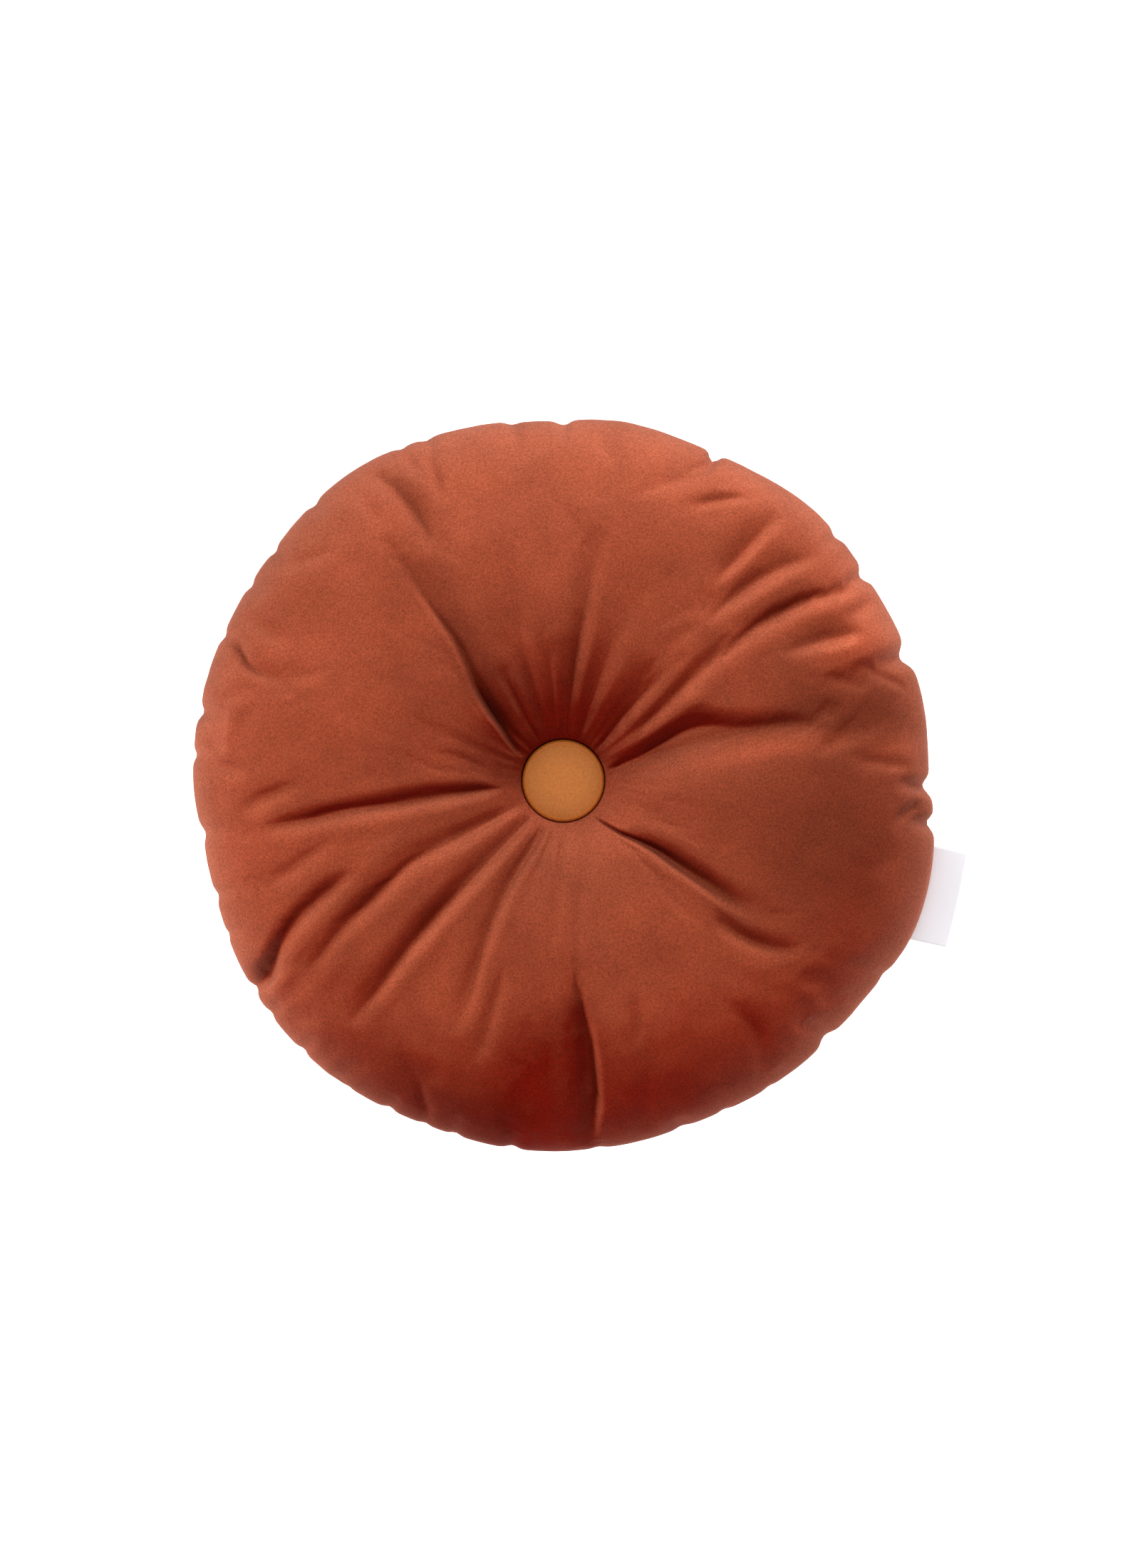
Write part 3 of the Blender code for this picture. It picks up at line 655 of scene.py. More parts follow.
rings = cushion_rings()
print("the cover's grid has", rings.shape[0], "rings of", rings.shape[1], "points")

# %% [markdown]
# ## The cloth settles
#
# Velvet is stiff, and longer than the form under it, so it buckles into fine creases between the
# folds. A table can't give those, but Blender's cloth can. Its rest shape is the cloth as it was
# cut, a few per cent wider than it lies, and the filling's pressure holds it out for 20 frames. It
# runs on every second ring and column, which is quick, and each of its points is a point of the
# fine grid too. Only the fine part of its movement is used, because the slow part would swell the
# crown away from its measured form.

# %% The cloth as it was cut
SPARE_CLOTH = 0.045  # how much longer a ring was cut than it lies
SPARE_FROM = 30.0  # the spare cloth grows over this distance from the button
SPARE_FALLS = (120.0, 225.0)  # between these radii it grows less again
SPARE_LOSS = 0.6


def slack_rings(rings):
    """Each ring is widened by its share of spare cloth, and lies as far from its neighbour as
    before: the fall between two rings is the root of their distance squared, less the way across
    squared."""
    radius = np.hypot(rings[..., 0], rings[..., 1])
    share = np.clip((radius - SEAT_RADIUS) / SPARE_FROM, 0, 1)
    falls_from, falls_to = SPARE_FALLS
    outer = np.clip((radius - falls_from) / (falls_to - falls_from), 0, 1)
    share = share * (1 - SPARE_LOSS * outer)
    slack = rings.copy()
    slack[..., :2] *= (1 + SPARE_CLOTH * share)[..., None]
    step = np.linalg.norm(np.diff(rings, axis=0), axis=-1)
    across = np.linalg.norm(np.diff(slack[..., :2], axis=0), axis=-1)
    fall = np.sqrt(np.clip(step**2 - across**2, 0, None)) * np.sign(np.diff(rings[..., 2], axis=0))
    slack[1:, :, 2] = slack[0, :, 2] + np.cumsum(fall, axis=0)
    return slack


def length_of(rings):
    """The length of the longest ring: the sum of the distances between its points."""
    steps = np.linalg.norm(np.roll(rings, -1, axis=1) - rings, axis=-1)
    return steps.sum(axis=1).max()


print("the widest ring is", round(float(length_of(rings))), "mm long as it lies, and was cut",
      round(float(length_of(slack_rings(rings)))), "mm long")

# %% A copy that can be simulated
HELD_RINGS = 3  # the cloth is held at the button
LIES_BELOW = 12.0  # and where the back lies nearly on the floor


def coarse_copy(rings, held):
    """A closed mesh of these rings. The held points are its pins, and a shape key has its rest
    shape, the slack cloth."""
    ends = [[0, 0, rings[0, 0, 2]], [0, 0, rings[-1, 0, 2]]]
    coarse = closed_surface("settling", rings, *ends)
    pins = coarse.vertex_groups.new(name="held")
    pins.add(np.flatnonzero(np.append(held.ravel(), [True, True])).tolist(), 1.0, "REPLACE")
    coarse.shape_key_add(name="Basis")
    cut = coarse.shape_key_add(name="cut")
    points = np.vstack([slack_rings(rings).reshape(-1, 3), *ends]) * MM
    points[:, :2] += TUFT_X, TUFT_Y
    cut.data.foreach_set("co", points.ravel())
    cut.value = 0
    return coarse, cut


ring_places = np.unique(np.append(np.arange(0, len(rings), 2), len(rings) - 1))
coarse_rings = rings[ring_places][:, ::2]
place = np.broadcast_to(ring_places[:, None], coarse_rings.shape[:2])
held = (place < HELD_RINGS) | ((place > FRONT_RINGS) & (coarse_rings[..., 2] < LIES_BELOW))
print(int(held.sum()), "of", held.size, "points are held")

# %% Run Blender's cloth
SETTLE_PRESSURE = 4.0
SETTLE_FRAMES = 20
CLOTH_QUALITY = 6
CLOTH_MASS = 0.1
CLOTH_STIFFNESS = 25
CLOTH_SHEAR = 5
CLOTH_BENDING = 0.05


def add_cloth(coarse, cut):
    """Cloth that feels no gravity, is held at its pins and is pushed out by an even pressure."""
    cloth = coarse.modifiers.new("Cloth", "CLOTH")
    cloth.settings.quality = CLOTH_QUALITY
    cloth.settings.mass = CLOTH_MASS
    cloth.settings.tension_stiffness = CLOTH_STIFFNESS
    cloth.settings.compression_stiffness = CLOTH_STIFFNESS
    cloth.settings.shear_stiffness = CLOTH_SHEAR
    cloth.settings.bending_stiffness = CLOTH_BENDING
    cloth.settings.use_pressure = True
    cloth.settings.uniform_pressure_force = SETTLE_PRESSURE
    cloth.settings.effector_weights.gravity = 0
    cloth.settings.vertex_group_mass = "held"
    cloth.settings.rest_shape_key = cut
    cloth.point_cache.frame_start = 1
    cloth.point_cache.frame_end = SETTLE_FRAMES


def settle(rings, held):
    """How far each point moves: where the cloth has it after the last frame, less where it was."""
    coarse, cut = coarse_copy(rings, held)
    add_cloth(coarse, cut)
    scene = bpy.context.scene
    for number in range(1, SETTLE_FRAMES + 1):
        scene.frame_set(number)
    shown = coarse.evaluated_get(bpy.context.evaluated_depsgraph_get())
    after = np.empty(3 * len(shown.data.vertices))
    shown.data.vertices.foreach_get("co", after)
    after = after.reshape(-1, 3)[:-2] / MM
    after[:, :2] -= TUFT_X / MM, TUFT_Y / MM
    bpy.data.objects.remove(coarse)
    scene.frame_set(1)
    return after.reshape(rings.shape) - rings


moved = settle(coarse_rings, held)
print("the cloth moved by up to", round(float(np.linalg.norm(moved, axis=-1).max()), 1), "mm")

# %% Keep the creases
SLOW_WAVES = 5  # up to this many waves around a ring are left out
SETTLE_CAP = 6.0
CREASE_SHARE = 0.55


def creases_only(moved):
    """The movement without its slow waves around each ring, which a Fourier transform takes out.
    Its length is limited softly, as cap * tanh(length / cap), and a share of it is kept."""
    turn = np.arange(moved.shape[1]) * 2 * math.pi / moved.shape[1]
    cos, sin = np.cos(turn), np.sin(turn)
    out = moved[..., 0] * cos + moved[..., 1] * sin
    along = moved[..., 1] * cos - moved[..., 0] * sin
    waves = np.fft.rfft([out, along, moved[..., 2]], axis=-1)
    waves[..., : SLOW_WAVES + 1] = 0
    out, along, up = np.fft.irfft(waves, moved.shape[1], axis=-1)
    kept = np.stack([out * cos - along * sin, out * sin + along * cos, up], -1)
    far = np.linalg.norm(kept, axis=-1, keepdims=True)
    return CREASE_SHARE * kept * SETTLE_CAP * np.tanh(far / SETTLE_CAP) / np.maximum(far, 1e-6)


creases = creases_only(moved)
print("the creases are up to", round(float(np.linalg.norm(creases, axis=-1).max()), 1), "mm")

# %% From the coarse grid to the fine one


def finer(moved, ring_places, count, columns):
    """The same movement for every ring and column. Between four columns it follows a Catmull-Rom
    curve, and between two rings a straight line."""
    coarse_columns = moved.shape[1]
    where = np.arange(columns) * coarse_columns / columns
    i = np.floor(where).astype(int)
    t = (where - i)[None, :, None]
    a, b = moved[:, (i - 1) % coarse_columns], moved[:, i % coarse_columns]
    c, d = moved[:, (i + 1) % coarse_columns], moved[:, (i + 2) % coarse_columns]
    wide = b + 0.5 * t * (c - a + t * (2 * a - 5 * b + 4 * c - d + t * (3 * (b - c) + d - a)))
    ring = np.arange(count)
    j = np.clip(np.searchsorted(ring_places, ring, side="right") - 1, 0, len(ring_places) - 2)
    share = (ring - ring_places[j]) / (ring_places[j + 1] - ring_places[j])
    return wide[j] + share[:, None, None] * (wide[j + 1] - wide[j])


# %% Crease the cover and make its mesh
RIM_SHARE = 0.15  # the share of a crease that is left at the rim
FADE_WIDTH = 14.0  # it falls off over this distance
FADE_END = 3.0  # which ends this far past the mean rim

far_out = np.hypot(coarse_rings[..., 0], coarse_rings[..., 1])
fade = np.clip((CUSHION_RADIUS + FADE_END - far_out) / FADE_WIDTH, RIM_SHARE, 1)
fade = fade * (place <= FRONT_RINGS)
rings = rings + finer(creases * fade[..., None], ring_places, *rings.shape[:2])
rings[..., 2] = np.maximum(rings[..., 2], 0)
cover = closed_surface(
    "velvet_cover", rings, [0, 0, float(front_height(0))], [0, 0, float(back_height(0))]
)

# %% [markdown]
# ## Painted shade, highlights and sheen
#
# Much of this cushion's look is light and shade that the form alone doesn't give, so it is
# painted on the cloth in patches. Three numbers at each point of the mesh, which Blender calls
# attributes, carry them to the material: one for painted shade in a deep wine red, in the funnel
# above the button, in the south fold and on the south side, which faces away from the lamps, and
# which there also stands for pile that lies another way; one for painted shade, and for painted
# highlight where the number is negative; and edge for a painted sheen where the cloth turns over
# at the rim. A row is a soft oval: its place, its half-widths outwards and around, and its
# strength.

# %% The patches of painted shade in wine red
Patch = namedtuple("Patch", "radius angle out around strength")

SHADE_RED_PATCHES = {
    "above the button": Patch(36, 84, 32, 45, 0.78),
    "left of the south fold": Patch(194, 265, 50, 32, 1.2),
    "in the south fold": Patch(155, 272.5, 30, 10, 0.9),
    "a lighter streak beside it": Patch(176, 269, 40, 6, -0.45),
    "right of it": Patch(195, 283, 16, 17, 0.6),
    "south west rim": Patch(212, 245, 18, 30, 0.35),
    "south east": Patch(188, 308, 18, 8, 0.6),
    "south east low": Patch(200, 291, 15, 16, 0.5),
    "south east mid": Patch(150, 287, 14, 8, 0.22),
}
print(len(SHADE_RED_PATCHES), "wine red patches")

# %% The patches of painted shade, and of painted highlight
SHADE_AND_HIGHLIGHT_PATCHES = {
    "east": Patch(178, 357, 55, 62, 0.85),
    "east shelf": Patch(185, 14, 34, 24, 0.85),
    "a lighter ridge on it": Patch(138, 8.5, 42, 6, -0.7),
    "crest by the east shelf": Patch(196, 24.8, 28, 8, -0.6),
    "south west rim": Patch(212, 238, 20, 50, 0.35),
    "south west crown": Patch(150, 241, 28, 30, -0.2),
    "beside the south fold": Patch(165, 273.8, 52, 5, 0.75),
    "south rim": Patch(207, 261, 22, 24, 0.5),
    "south east": Patch(150, 340, 50, 45, 0.4),
    "inside the north east folds": Patch(150, 25, 26, 28, 0.35),
    "north west rim": Patch(214, 142, 28, 60, 0.35),
    "below the button": Patch(64, 268, 26, 52, 0.4),
    "left of the button": Patch(44, 172, 28, 26, 0.5),
    "east of the button": Patch(90, 0, 40, 30, 0.3),
    "in the funnel": Patch(36, 78, 20, 28, 0.3),
    "north of the west fold": Patch(78, 122, 26, 20, 0.3),
    "in the north west streak": Patch(188, 118.4, 32, 8, 0.4),
    "in the west fold": Patch(130, 185.4, 40, 7, 0.2),
    "under the north west fold": Patch(60, 134.6, 24, 8, 0.8),
    "on the north west fold": Patch(55, 140, 18, 4, -0.6),
    "beside the north west fold": Patch(112, 124, 40, 9, 0.7),
    "in the north fold": Patch(95, 85.6, 40, 5, 0.4),
    "in the south east fold": Patch(95, 326.6, 36, 6, 0.4),
    "in the south east outer fold": Patch(148, 321, 26, 5, 0.5),
    "south west low rim": Patch(212, 252, 24, 40, 0.4),
    "in the south west fold": Patch(140, 210, 44, 7, 0.2),
    "in the south west upper fold": Patch(186, 206.6, 30, 7, 0.35),
    "in the south west lower fold": Patch(120, 225, 44, 8, 0.3),
    "south west rim hollow": Patch(216, 211.5, 9, 6, 0.8),
    "south east rim": Patch(196, 318, 24, 60, -0.12),
    "south of the crown": Patch(170, 300, 34, 60, -0.4),
    "north east rim": Patch(210, 28, 14, 28, -0.35),
    "west crown": Patch(188, 200, 26, 60, -0.25),
    "west rim": Patch(206, 172, 16, 26, -0.2),
    "south west of the button": Patch(66, 238, 22, 18, 0.25),
    "in the east fold": Patch(130, 15.6, 26, 7, 0.45),
    "in the east outer fold": Patch(176, 30, 20, 7, 0.45),
    "in the east upper fold": Patch(172, 38.6, 28, 7, 0.4),
    "beside the east upper fold": Patch(168, 34.8, 34, 6, -0.3),
    "in the north east fold": Patch(158, 47.6, 26, 8, 0.35),
    "in the north east outer fold": Patch(176, 54, 20, 7, 0.4),
    "beside the north east outer fold": Patch(172, 50, 26, 6, -0.3),
    "east rim ridge": Patch(200, 5.4, 16, 5, -0.5),
    "east rim hollow": Patch(203, 10.5, 16, 8, 0.3),
    "east south rim": Patch(214, 355, 10, 7, 0.6),
}
print(len(SHADE_AND_HIGHLIGHT_PATCHES), "dull or bright patches")

# %% Give every point its share of the patches
FRONT_FADE = 12.0  # the patches fade out over this height above the seam
# Where the rim's painted sheen starts, and where it is full
EDGE_FROM = 190.0
EDGE_FULL = 218.0
SOUTH = 270.0
SOUTH_SPREAD = 50.0
SOUTH_LOSS = 0.75  # the share of the edge's light that the south side lacks


def patch_strength(patches, places):
    """The sum of the patches at each place, each a bell curve outwards and along the circle, held
    between -1 and 1. The back has none."""
    radius = np.hypot(places[:, 0], places[:, 1])
    angle = np.degrees(np.arctan2(places[:, 1], places[:, 0]))
    total = np.zeros_like(radius)
    for patch in patches.values():
        out = (radius - patch.radius) / patch.out
        along = arc_from(angle, patch.angle, patch.radius) / patch.around
        total += patch.strength * np.exp(-(out**2) - along**2)
    return np.clip(total, -1, 1) * np.clip((places[:, 2] - SEAM_HEIGHT) / FRONT_FADE, 0, 1)


def rim_sheen_strength(places):
    """The strength of the rim's painted sheen: 0 on the crown and 1 at the rim, with an even rise
    between, less a bell curve around the south, which lies in the shade."""
    radius = np.hypot(places[:, 0], places[:, 1])
    angle = np.degrees(np.arctan2(places[:, 1], places[:, 0]))
    rim_share = np.clip((radius - EDGE_FROM) / (EDGE_FULL - EDGE_FROM), 0, 1)
    south = arc_from(angle, SOUTH, 1.0) / np.radians(SOUTH_SPREAD)
    return rim_share * (1 - SOUTH_LOSS * np.exp(-(south**2)))


def points_of(obj):
    """The mesh's points as one array, in millimetres from the tuft's axis."""
    points = np.empty(3 * len(obj.data.vertices))
    obj.data.vertices.foreach_get("co", points)
    return points.reshape(-1, 3) / MM - [TUFT_X / MM, TUFT_Y / MM, 0]


def keep_numbers(obj, name, numbers):
    """Stores one number for each point of the mesh, under this name."""
    obj.data.attributes.new(name, "FLOAT", "POINT").data.foreach_set("value", numbers)
    print(obj.name, "carries", name, "from", round(float(numbers.min()), 2),
          "to", round(float(numbers.max()), 2))


# Painted shade in a deep wine red
keep_numbers(cover, "shade_red", patch_strength(SHADE_RED_PATCHES, points_of(cover)))
# Painted shade in folds, hollows and on sides away from the lamps, and painted highlight on ridges
# where negative
keep_numbers(cover, "shade_and_highlight", patch_strength(SHADE_AND_HIGHLIGHT_PATCHES, points_of(cover)))
# The painted sheen at the rim
keep_numbers(cover, "edge", rim_sheen_strength(points_of(cover)))

# %% [markdown]
# ## The covered buttons
#
# A covered button is a metal shell with leather stretched over it and tucked in at the back. Its
# face is a shallow dome, its edge a tight roll. The leather is gathered where it goes under, so
# the roll has faint pleats. Both buttons have the same shape, and the back one is turned over. A
# profile turned around the axis makes both, as it made the cushion.

# %% A button's profile
EDGE_ROLL = 2.0
ROLL_LOW = 2.0  # the roll ends this far above the underside
DOME_POINTS = 26
ROLL_POINTS = 13
INNERMOST = 0.04  # the first point's share of the way out
FLAT_RADIUS = BUTTON_RADIUS - EDGE_ROLL
DOME_FALL = 2.352  # from the middle of the face to the start of the roll


def button_profile():
    """Radius and height from the middle of the face to the underside: a dome that falls as the
    third power of the radius, a quarter of a squarish ellipse, and three points that turn under."""
    dome_r = np.linspace(INNERMOST, 1, DOME_POINTS) * FLAT_RADIUS
    dome_z = BUTTON_THICKNESS - DOME_FALL * (dome_r / FLAT_RADIUS) ** 3.0
    roll = np.linspace(0, math.pi / 2, ROLL_POINTS + 1)[1:]
    roll_r = FLAT_RADIUS + EDGE_ROLL * np.sin(roll)
    roll_z = ROLL_LOW + (dome_z[-1] - ROLL_LOW) * np.cos(roll) ** 0.9
    under_r = np.array([BUTTON_RADIUS, BUTTON_RADIUS - 0.5, BUTTON_RADIUS - 1.5])
    under_z = np.array([0.9, 0.2, 0.0])
    return np.concatenate([dome_r, roll_r, under_r]), np.concatenate([dome_z, roll_z, under_z])


print("a button's profile has", len(button_profile()[0]), "points")

# %% Turn the profile, and pleat its edge
BUTTON_COLUMNS = 160
TUCK_PLEATS = 34
TUCK_DEPTH = 0.16


def button_rings(seat, side):
    """Rings from the face to the underside. Pleats take TUCK_DEPTH * (1 + sine) off the radius, as
    the square of how far down the edge a point lies. side is 1 for the front and -1 for the back:
    it turns the button over around the X axis, so the faces still point outwards."""
    profile_r, profile_z = button_profile()
    angle, radius = np.meshgrid(np.arange(BUTTON_COLUMNS) * 360 / BUTTON_COLUMNS, profile_r)
    height = np.repeat(profile_z[:, None], BUTTON_COLUMNS, 1)
    edge_top = BUTTON_THICKNESS - DOME_FALL
    low = np.clip((edge_top - height) / edge_top, 0, 1) ** 2
    radius = radius - TUCK_DEPTH * low * (1 + np.sin(TUCK_PLEATS * np.radians(angle)))
    turn = np.radians(angle) * side
    return np.stack([radius * np.cos(turn), radius * np.sin(turn), seat + side * height], -1)


def make_button(name, seat, side):
    """The closed mesh, with one more number at each point: its radius over the button's, which
    tells the leather how near to the edge it is."""
    top = [0, 0, seat + side * BUTTON_THICKNESS]
    button = closed_surface(name, button_rings(seat, side), top, [0, 0, seat])
    radius = np.hypot(*points_of(button)[:, :2].T)
    keep_numbers(button, "towards_edge", np.clip(radius / BUTTON_RADIUS, 0, 1))
    return button


front_button = make_button("leather_button_front", button_low.z / MM, 1)
back_button = make_button("leather_button_back", back_high.z / MM, -1)

# %% [markdown]
# ## The ribbon label
#
# The label is one length of woven ribbon, folded across and caught in the seam by both ends. It is
# made as one open sheet that goes out, turns round the fold and comes back, and Solidify gives it
# its thickness. It bows a little, because the seam that holds it is curved.

# %% Where the seam lies under the label
LABEL_WIDTH = 59.0
LABEL_REACH = 20.5
LABEL_MIDDLE = 342.6  # the angle at which the middle of the label leaves the seam
LABEL_FACING = math.radians(347.6)  # the way that it points
SEAM_CLEARANCE = 0.6


def turned(distance, side):
    """x and y of a point this far out along the label's direction and this far to its side."""
    x = distance * math.cos(LABEL_FACING) - side * math.sin(LABEL_FACING)
    y = distance * math.sin(LABEL_FACING) + side * math.cos(LABEL_FACING)
    return x, y


def seam_distance(side):
    """How far out along the label's direction the seam lies. The point is moved out or in by what
    its radius lacks to the seam's, four times."""
    distance = np.full_like(side, CUSHION_RADIUS)
    for _ in range(4):
        x, y = turned(distance, side)
        seam = rim_radius(np.degrees(np.arctan2(y, x))) - SEAM_GROOVE
        distance = distance + seam - np.hypot(x, y)
    return distance


label_side = CUSHION_RADIUS * math.sin(math.radians(LABEL_MIDDLE) - LABEL_FACING)
print("the seam is", round(float(seam_distance(np.array([label_side]))[0]), 1), "mm from the tuft")

# %% The label's points
RIBBON_THICKNESS = 0.7
RIBBON_GAP = 0.5
LABEL_BOW = 0.7  # the fold's middle stands out by 0.7 of this, its ends draw back by the rest
LABEL_DROOP = 3.0
LABEL_WAVE = 0.35
LABEL_TURN = 3.2  # how far round the sine has come at either side, in radians
ACROSS_POINTS = 41
LAYER_POINTS = 22
FOLD_POINTS = 11


def label_points():
    """points[row, place, xyz]: each row runs straight out from the seam, round a half circle at
    the fold, and back. The height falls as the square of the share of the way out, and a slow
    sine wave across lifts one side a little."""
    across = np.linspace(-1, 1, ACROSS_POINTS)
    side = label_side + across * LABEL_WIDTH / 2
    start = seam_distance(side) + SEAM_CLEARANCE
    half_fold = (RIBBON_GAP + RIBBON_THICKNESS) / 2
    fold_end = seam_distance(np.array([label_side]))[0] + LABEL_REACH - half_fold
    fold_end = fold_end + LABEL_BOW * (0.7 - across**2)
    half_turn = np.linspace(-math.pi / 2, math.pi / 2, FOLD_POINTS + 2)[1:-1]
    layer = start[:, None] + (fold_end - start)[:, None] * np.linspace(0, 1, LAYER_POINTS)
    bend = fold_end[:, None] + half_fold * np.cos(half_turn)
    distance = np.hstack([layer, bend, layer[:, ::-1]])
    level = np.full(LAYER_POINTS, 1)
    rise = np.concatenate([-level, np.sin(half_turn), level]) * half_fold
    out = (distance - start[:, None]) / LABEL_REACH
    wave = LABEL_WAVE * np.sin(across * LABEL_TURN)[:, None] * out
    x, y = turned(distance, side[:, None])
    return np.stack([x, y, SEAM_HEIGHT + rise - LABEL_DROOP * out**2 + wave], -1)


def make_label():
    """A sheet with a UV map, whose U is the way across in millimetres and whose V counts the
    points along the ribbon."""
    grid = label_points() * MM + [TUFT_X, TUFT_Y, 0]
    rows, width, _ = grid.shape
    i, j = np.meshgrid(np.arange(rows - 1), np.arange(width - 1), indexing="ij")
    corner = i * width + j
    faces = np.stack([corner, corner + 1, corner + width + 1, corner + width], -1)
    mesh = bpy.data.meshes.new("ribbon_label")
    mesh.from_pydata(grid.reshape(-1, 3).tolist(), [], faces.reshape(-1, 4).tolist())
    mesh.shade_smooth()
    corners = np.empty(len(mesh.loops), np.int32)
    mesh.loops.foreach_get("vertex_index", corners)
    u = (corners // width) * LABEL_WIDTH / (rows - 1)
    uv = np.stack([u, corners % width], -1).astype(np.float32)
    mesh.uv_layers.new(name="ribbon").uv.foreach_set("vector", uv.ravel())
    sheet = bpy.data.objects.new("ribbon_label", mesh)
    bpy.context.scene.collection.objects.link(sheet)
    thick = sheet.modifiers.new("Ribbon", "SOLIDIFY")
    thick.thickness = RIBBON_THICKNESS * MM
    thick.offset = 0
    print("the label has", len(mesh.vertices), "points and", len(mesh.polygons), "faces")
    return sheet


label = make_label()

# %% [markdown]
# ## Materials
#
# A material is a tree of nodes that ends in one shader. Noise, sums and colour ramps repeat in all
# three of them, so a few helpers make these steps, each with the sockets that it needs.

# %% Helpers for the materials


def new_material(name):
    """A material with its node tree and its one shader."""
    material = bpy.data.materials.new(name)
    material.use_nodes = True
    shader = material.node_tree.nodes["Principled BSDF"]
    print("material", name)
    return material, material.node_tree, shader


def add(tree, kind, **settings):
    """A node of this kind, with its settings by name."""
    node = tree.nodes.new(kind)
    for name, value in settings.items():
        setattr(node, name, value)
    return node


def ramp(tree, factor, stops):
    """A colour ramp fed by factor, with stops of (place, red, green, blue)."""
    node = tree.nodes.new("ShaderNodeValToRGB")
    marks = node.color_ramp.elements
    while len(marks) < len(stops):
        marks.new(0.5)
    for mark, (place, *colour) in zip(marks, stops):
        mark.position = place
        mark.color = (*colour, 1)
    tree.links.new(factor, node.inputs["Fac"])
    return node.outputs["Color"]


def noise(tree, coordinates, cells, detail):
    """Noise of this many cells to a metre, with so many finer layers on top."""
    node = add(tree, "ShaderNodeTexNoise")
    node.inputs["Scale"].default_value = cells
    node.inputs["Detail"].default_value = detail
    tree.links.new(coordinates, node.inputs["Vector"])
    return node.outputs["Fac"]


def attribute(tree, name):
    """The number that the mesh carries under this name."""
    return add(tree, "ShaderNodeAttribute", attribute_name=name).outputs["Fac"]


def maths(tree, operation, *values, clamp=False):
    """One step of arithmetic on sockets or numbers, held between 0 and 1 if clamp is set."""
    node = add(tree, "ShaderNodeMath", operation=operation, use_clamp=clamp)
    for socket, value in zip(node.inputs, values):
        if isinstance(value, (int, float)):
            socket.default_value = value
        else:
            tree.links.new(value, socket)
    return node.outputs[0]


def blend(tree, factor, colour, other):
    """The first colour where factor is 0, and the other, which is fixed, where it is 1."""
    node = add(tree, "ShaderNodeMix", data_type="RGBA")
    node.inputs[7].default_value = (*other, 1)
    tree.links.new(factor, node.inputs[0])
    tree.links.new(colour, node.inputs[6])
    return node.outputs[2]


def times(tree, colour, light):
    """The colour multiplied by a number."""
    node = add(tree, "ShaderNodeVectorMath", operation="SCALE")
    tree.links.new(colour, node.inputs[0])
    tree.links.new(light, node.inputs["Scale"])
    return node.outputs[0]


def roughen(tree, shader, height, strength, distance):
    """A bump: the light answers as if the surface rose by the height times the distance, in
    metres, times the strength."""
    node = add(tree, "ShaderNodeBump")
    node.inputs["Strength"].default_value = strength
    node.inputs["Distance"].default_value = distance
    tree.links.new(height, node.inputs["Height"])
    tree.links.new(node.outputs["Normal"], shader.inputs["Normal"])


# %% [markdown]
# ## Velvet
#
# Velvet is a dense pile of short fibres. Seen from the tips it looks light and a little orange,
# and seen into the pile it looks deep red. Here its colour is painted shade and painted light that
# follow the way the cloth faces: a direction along the face points towards the lamps. The dot
# product of that direction and the surface's own is about 0 on the level crown, positive on walls
# that face the lamps and negative on the others, and a colour ramp turns it into a lighter, orange
# colour on the lit walls and a deep, dark red on the shaded ones. Painted patches of shade and
# highlight, the rim's painted sheen and two kinds of noise, one for blotches and one for single
# tufts of fibre, then change it. A sheen at grazing angles does the rest.

# %% The painted shade and light that follow the way the cloth faces
LAMP_SIDE = (-0.20, 0.98, 0.0)  # the way towards the lamps, along the face
PAINTED_LIGHT_GAIN = 0.80
LEVEL_CLOTH = 0.5  # the place on the ramp of cloth that lies level
NAP_UNEVEN = 0.16
# Painted shade for walls that face away from the lamps, painted light and highlight for walls that
# face them
PAINTED_SHADE_PILE = (0.095, 0.0032, 0.0011)
HALF_SHADE_PILE = (0.192, 0.0205, 0.0078)
CROWN_PILE = (0.280, 0.0480, 0.0205)
MID_PILE = (0.298, 0.0535, 0.0232)
PAINTED_LIGHT_PILE = (0.385, 0.0790, 0.0360)
PAINTED_HIGHLIGHT_PILE = (0.455, 0.1050, 0.0510)


def lamp_facing_colour(tree, where, normal):
    """Painted shade and light: the ramp at 0.5 + gain * (normal . lamp side), moved a little by
    noise.
    """
    facing = add(tree, "ShaderNodeVectorMath", operation="DOT_PRODUCT")
    facing.inputs[1].default_value = LAMP_SIDE
    tree.links.new(normal, facing.inputs[0])
    factor = maths(tree, "MULTIPLY_ADD", facing.outputs["Value"], PAINTED_LIGHT_GAIN, LEVEL_CLOTH)
    uneven = noise(tree, where, cells=26, detail=3)
    uneven = maths(tree, "MULTIPLY_ADD", uneven, NAP_UNEVEN, -NAP_UNEVEN / 2)
    return ramp(tree, maths(tree, "ADD", factor, uneven), [
        (0.0, *PAINTED_SHADE_PILE), (0.22, *HALF_SHADE_PILE), (0.38, *CROWN_PILE), (0.5, *MID_PILE),
        (0.75, *PAINTED_LIGHT_PILE), (1.0, *PAINTED_HIGHLIGHT_PILE)])


# %% The patches' painted wine red shade, and the rim's painted sheen
SHADE_RED_PILE = (0.138, 0.0046, 0.0014)  # painted shade: a deep, dark wine red in the funnel, the folds and the south side
RIM_SHEEN_PILE = (0.400, 0.113, 0.064)  # painted sheen: light, pinkish tips where the cloth turns over at the rim
RIM_SHEEN_GAIN = 1.5
RAGGED = (1.5, 0.25)  # gain and offset of the noise that frays a patch


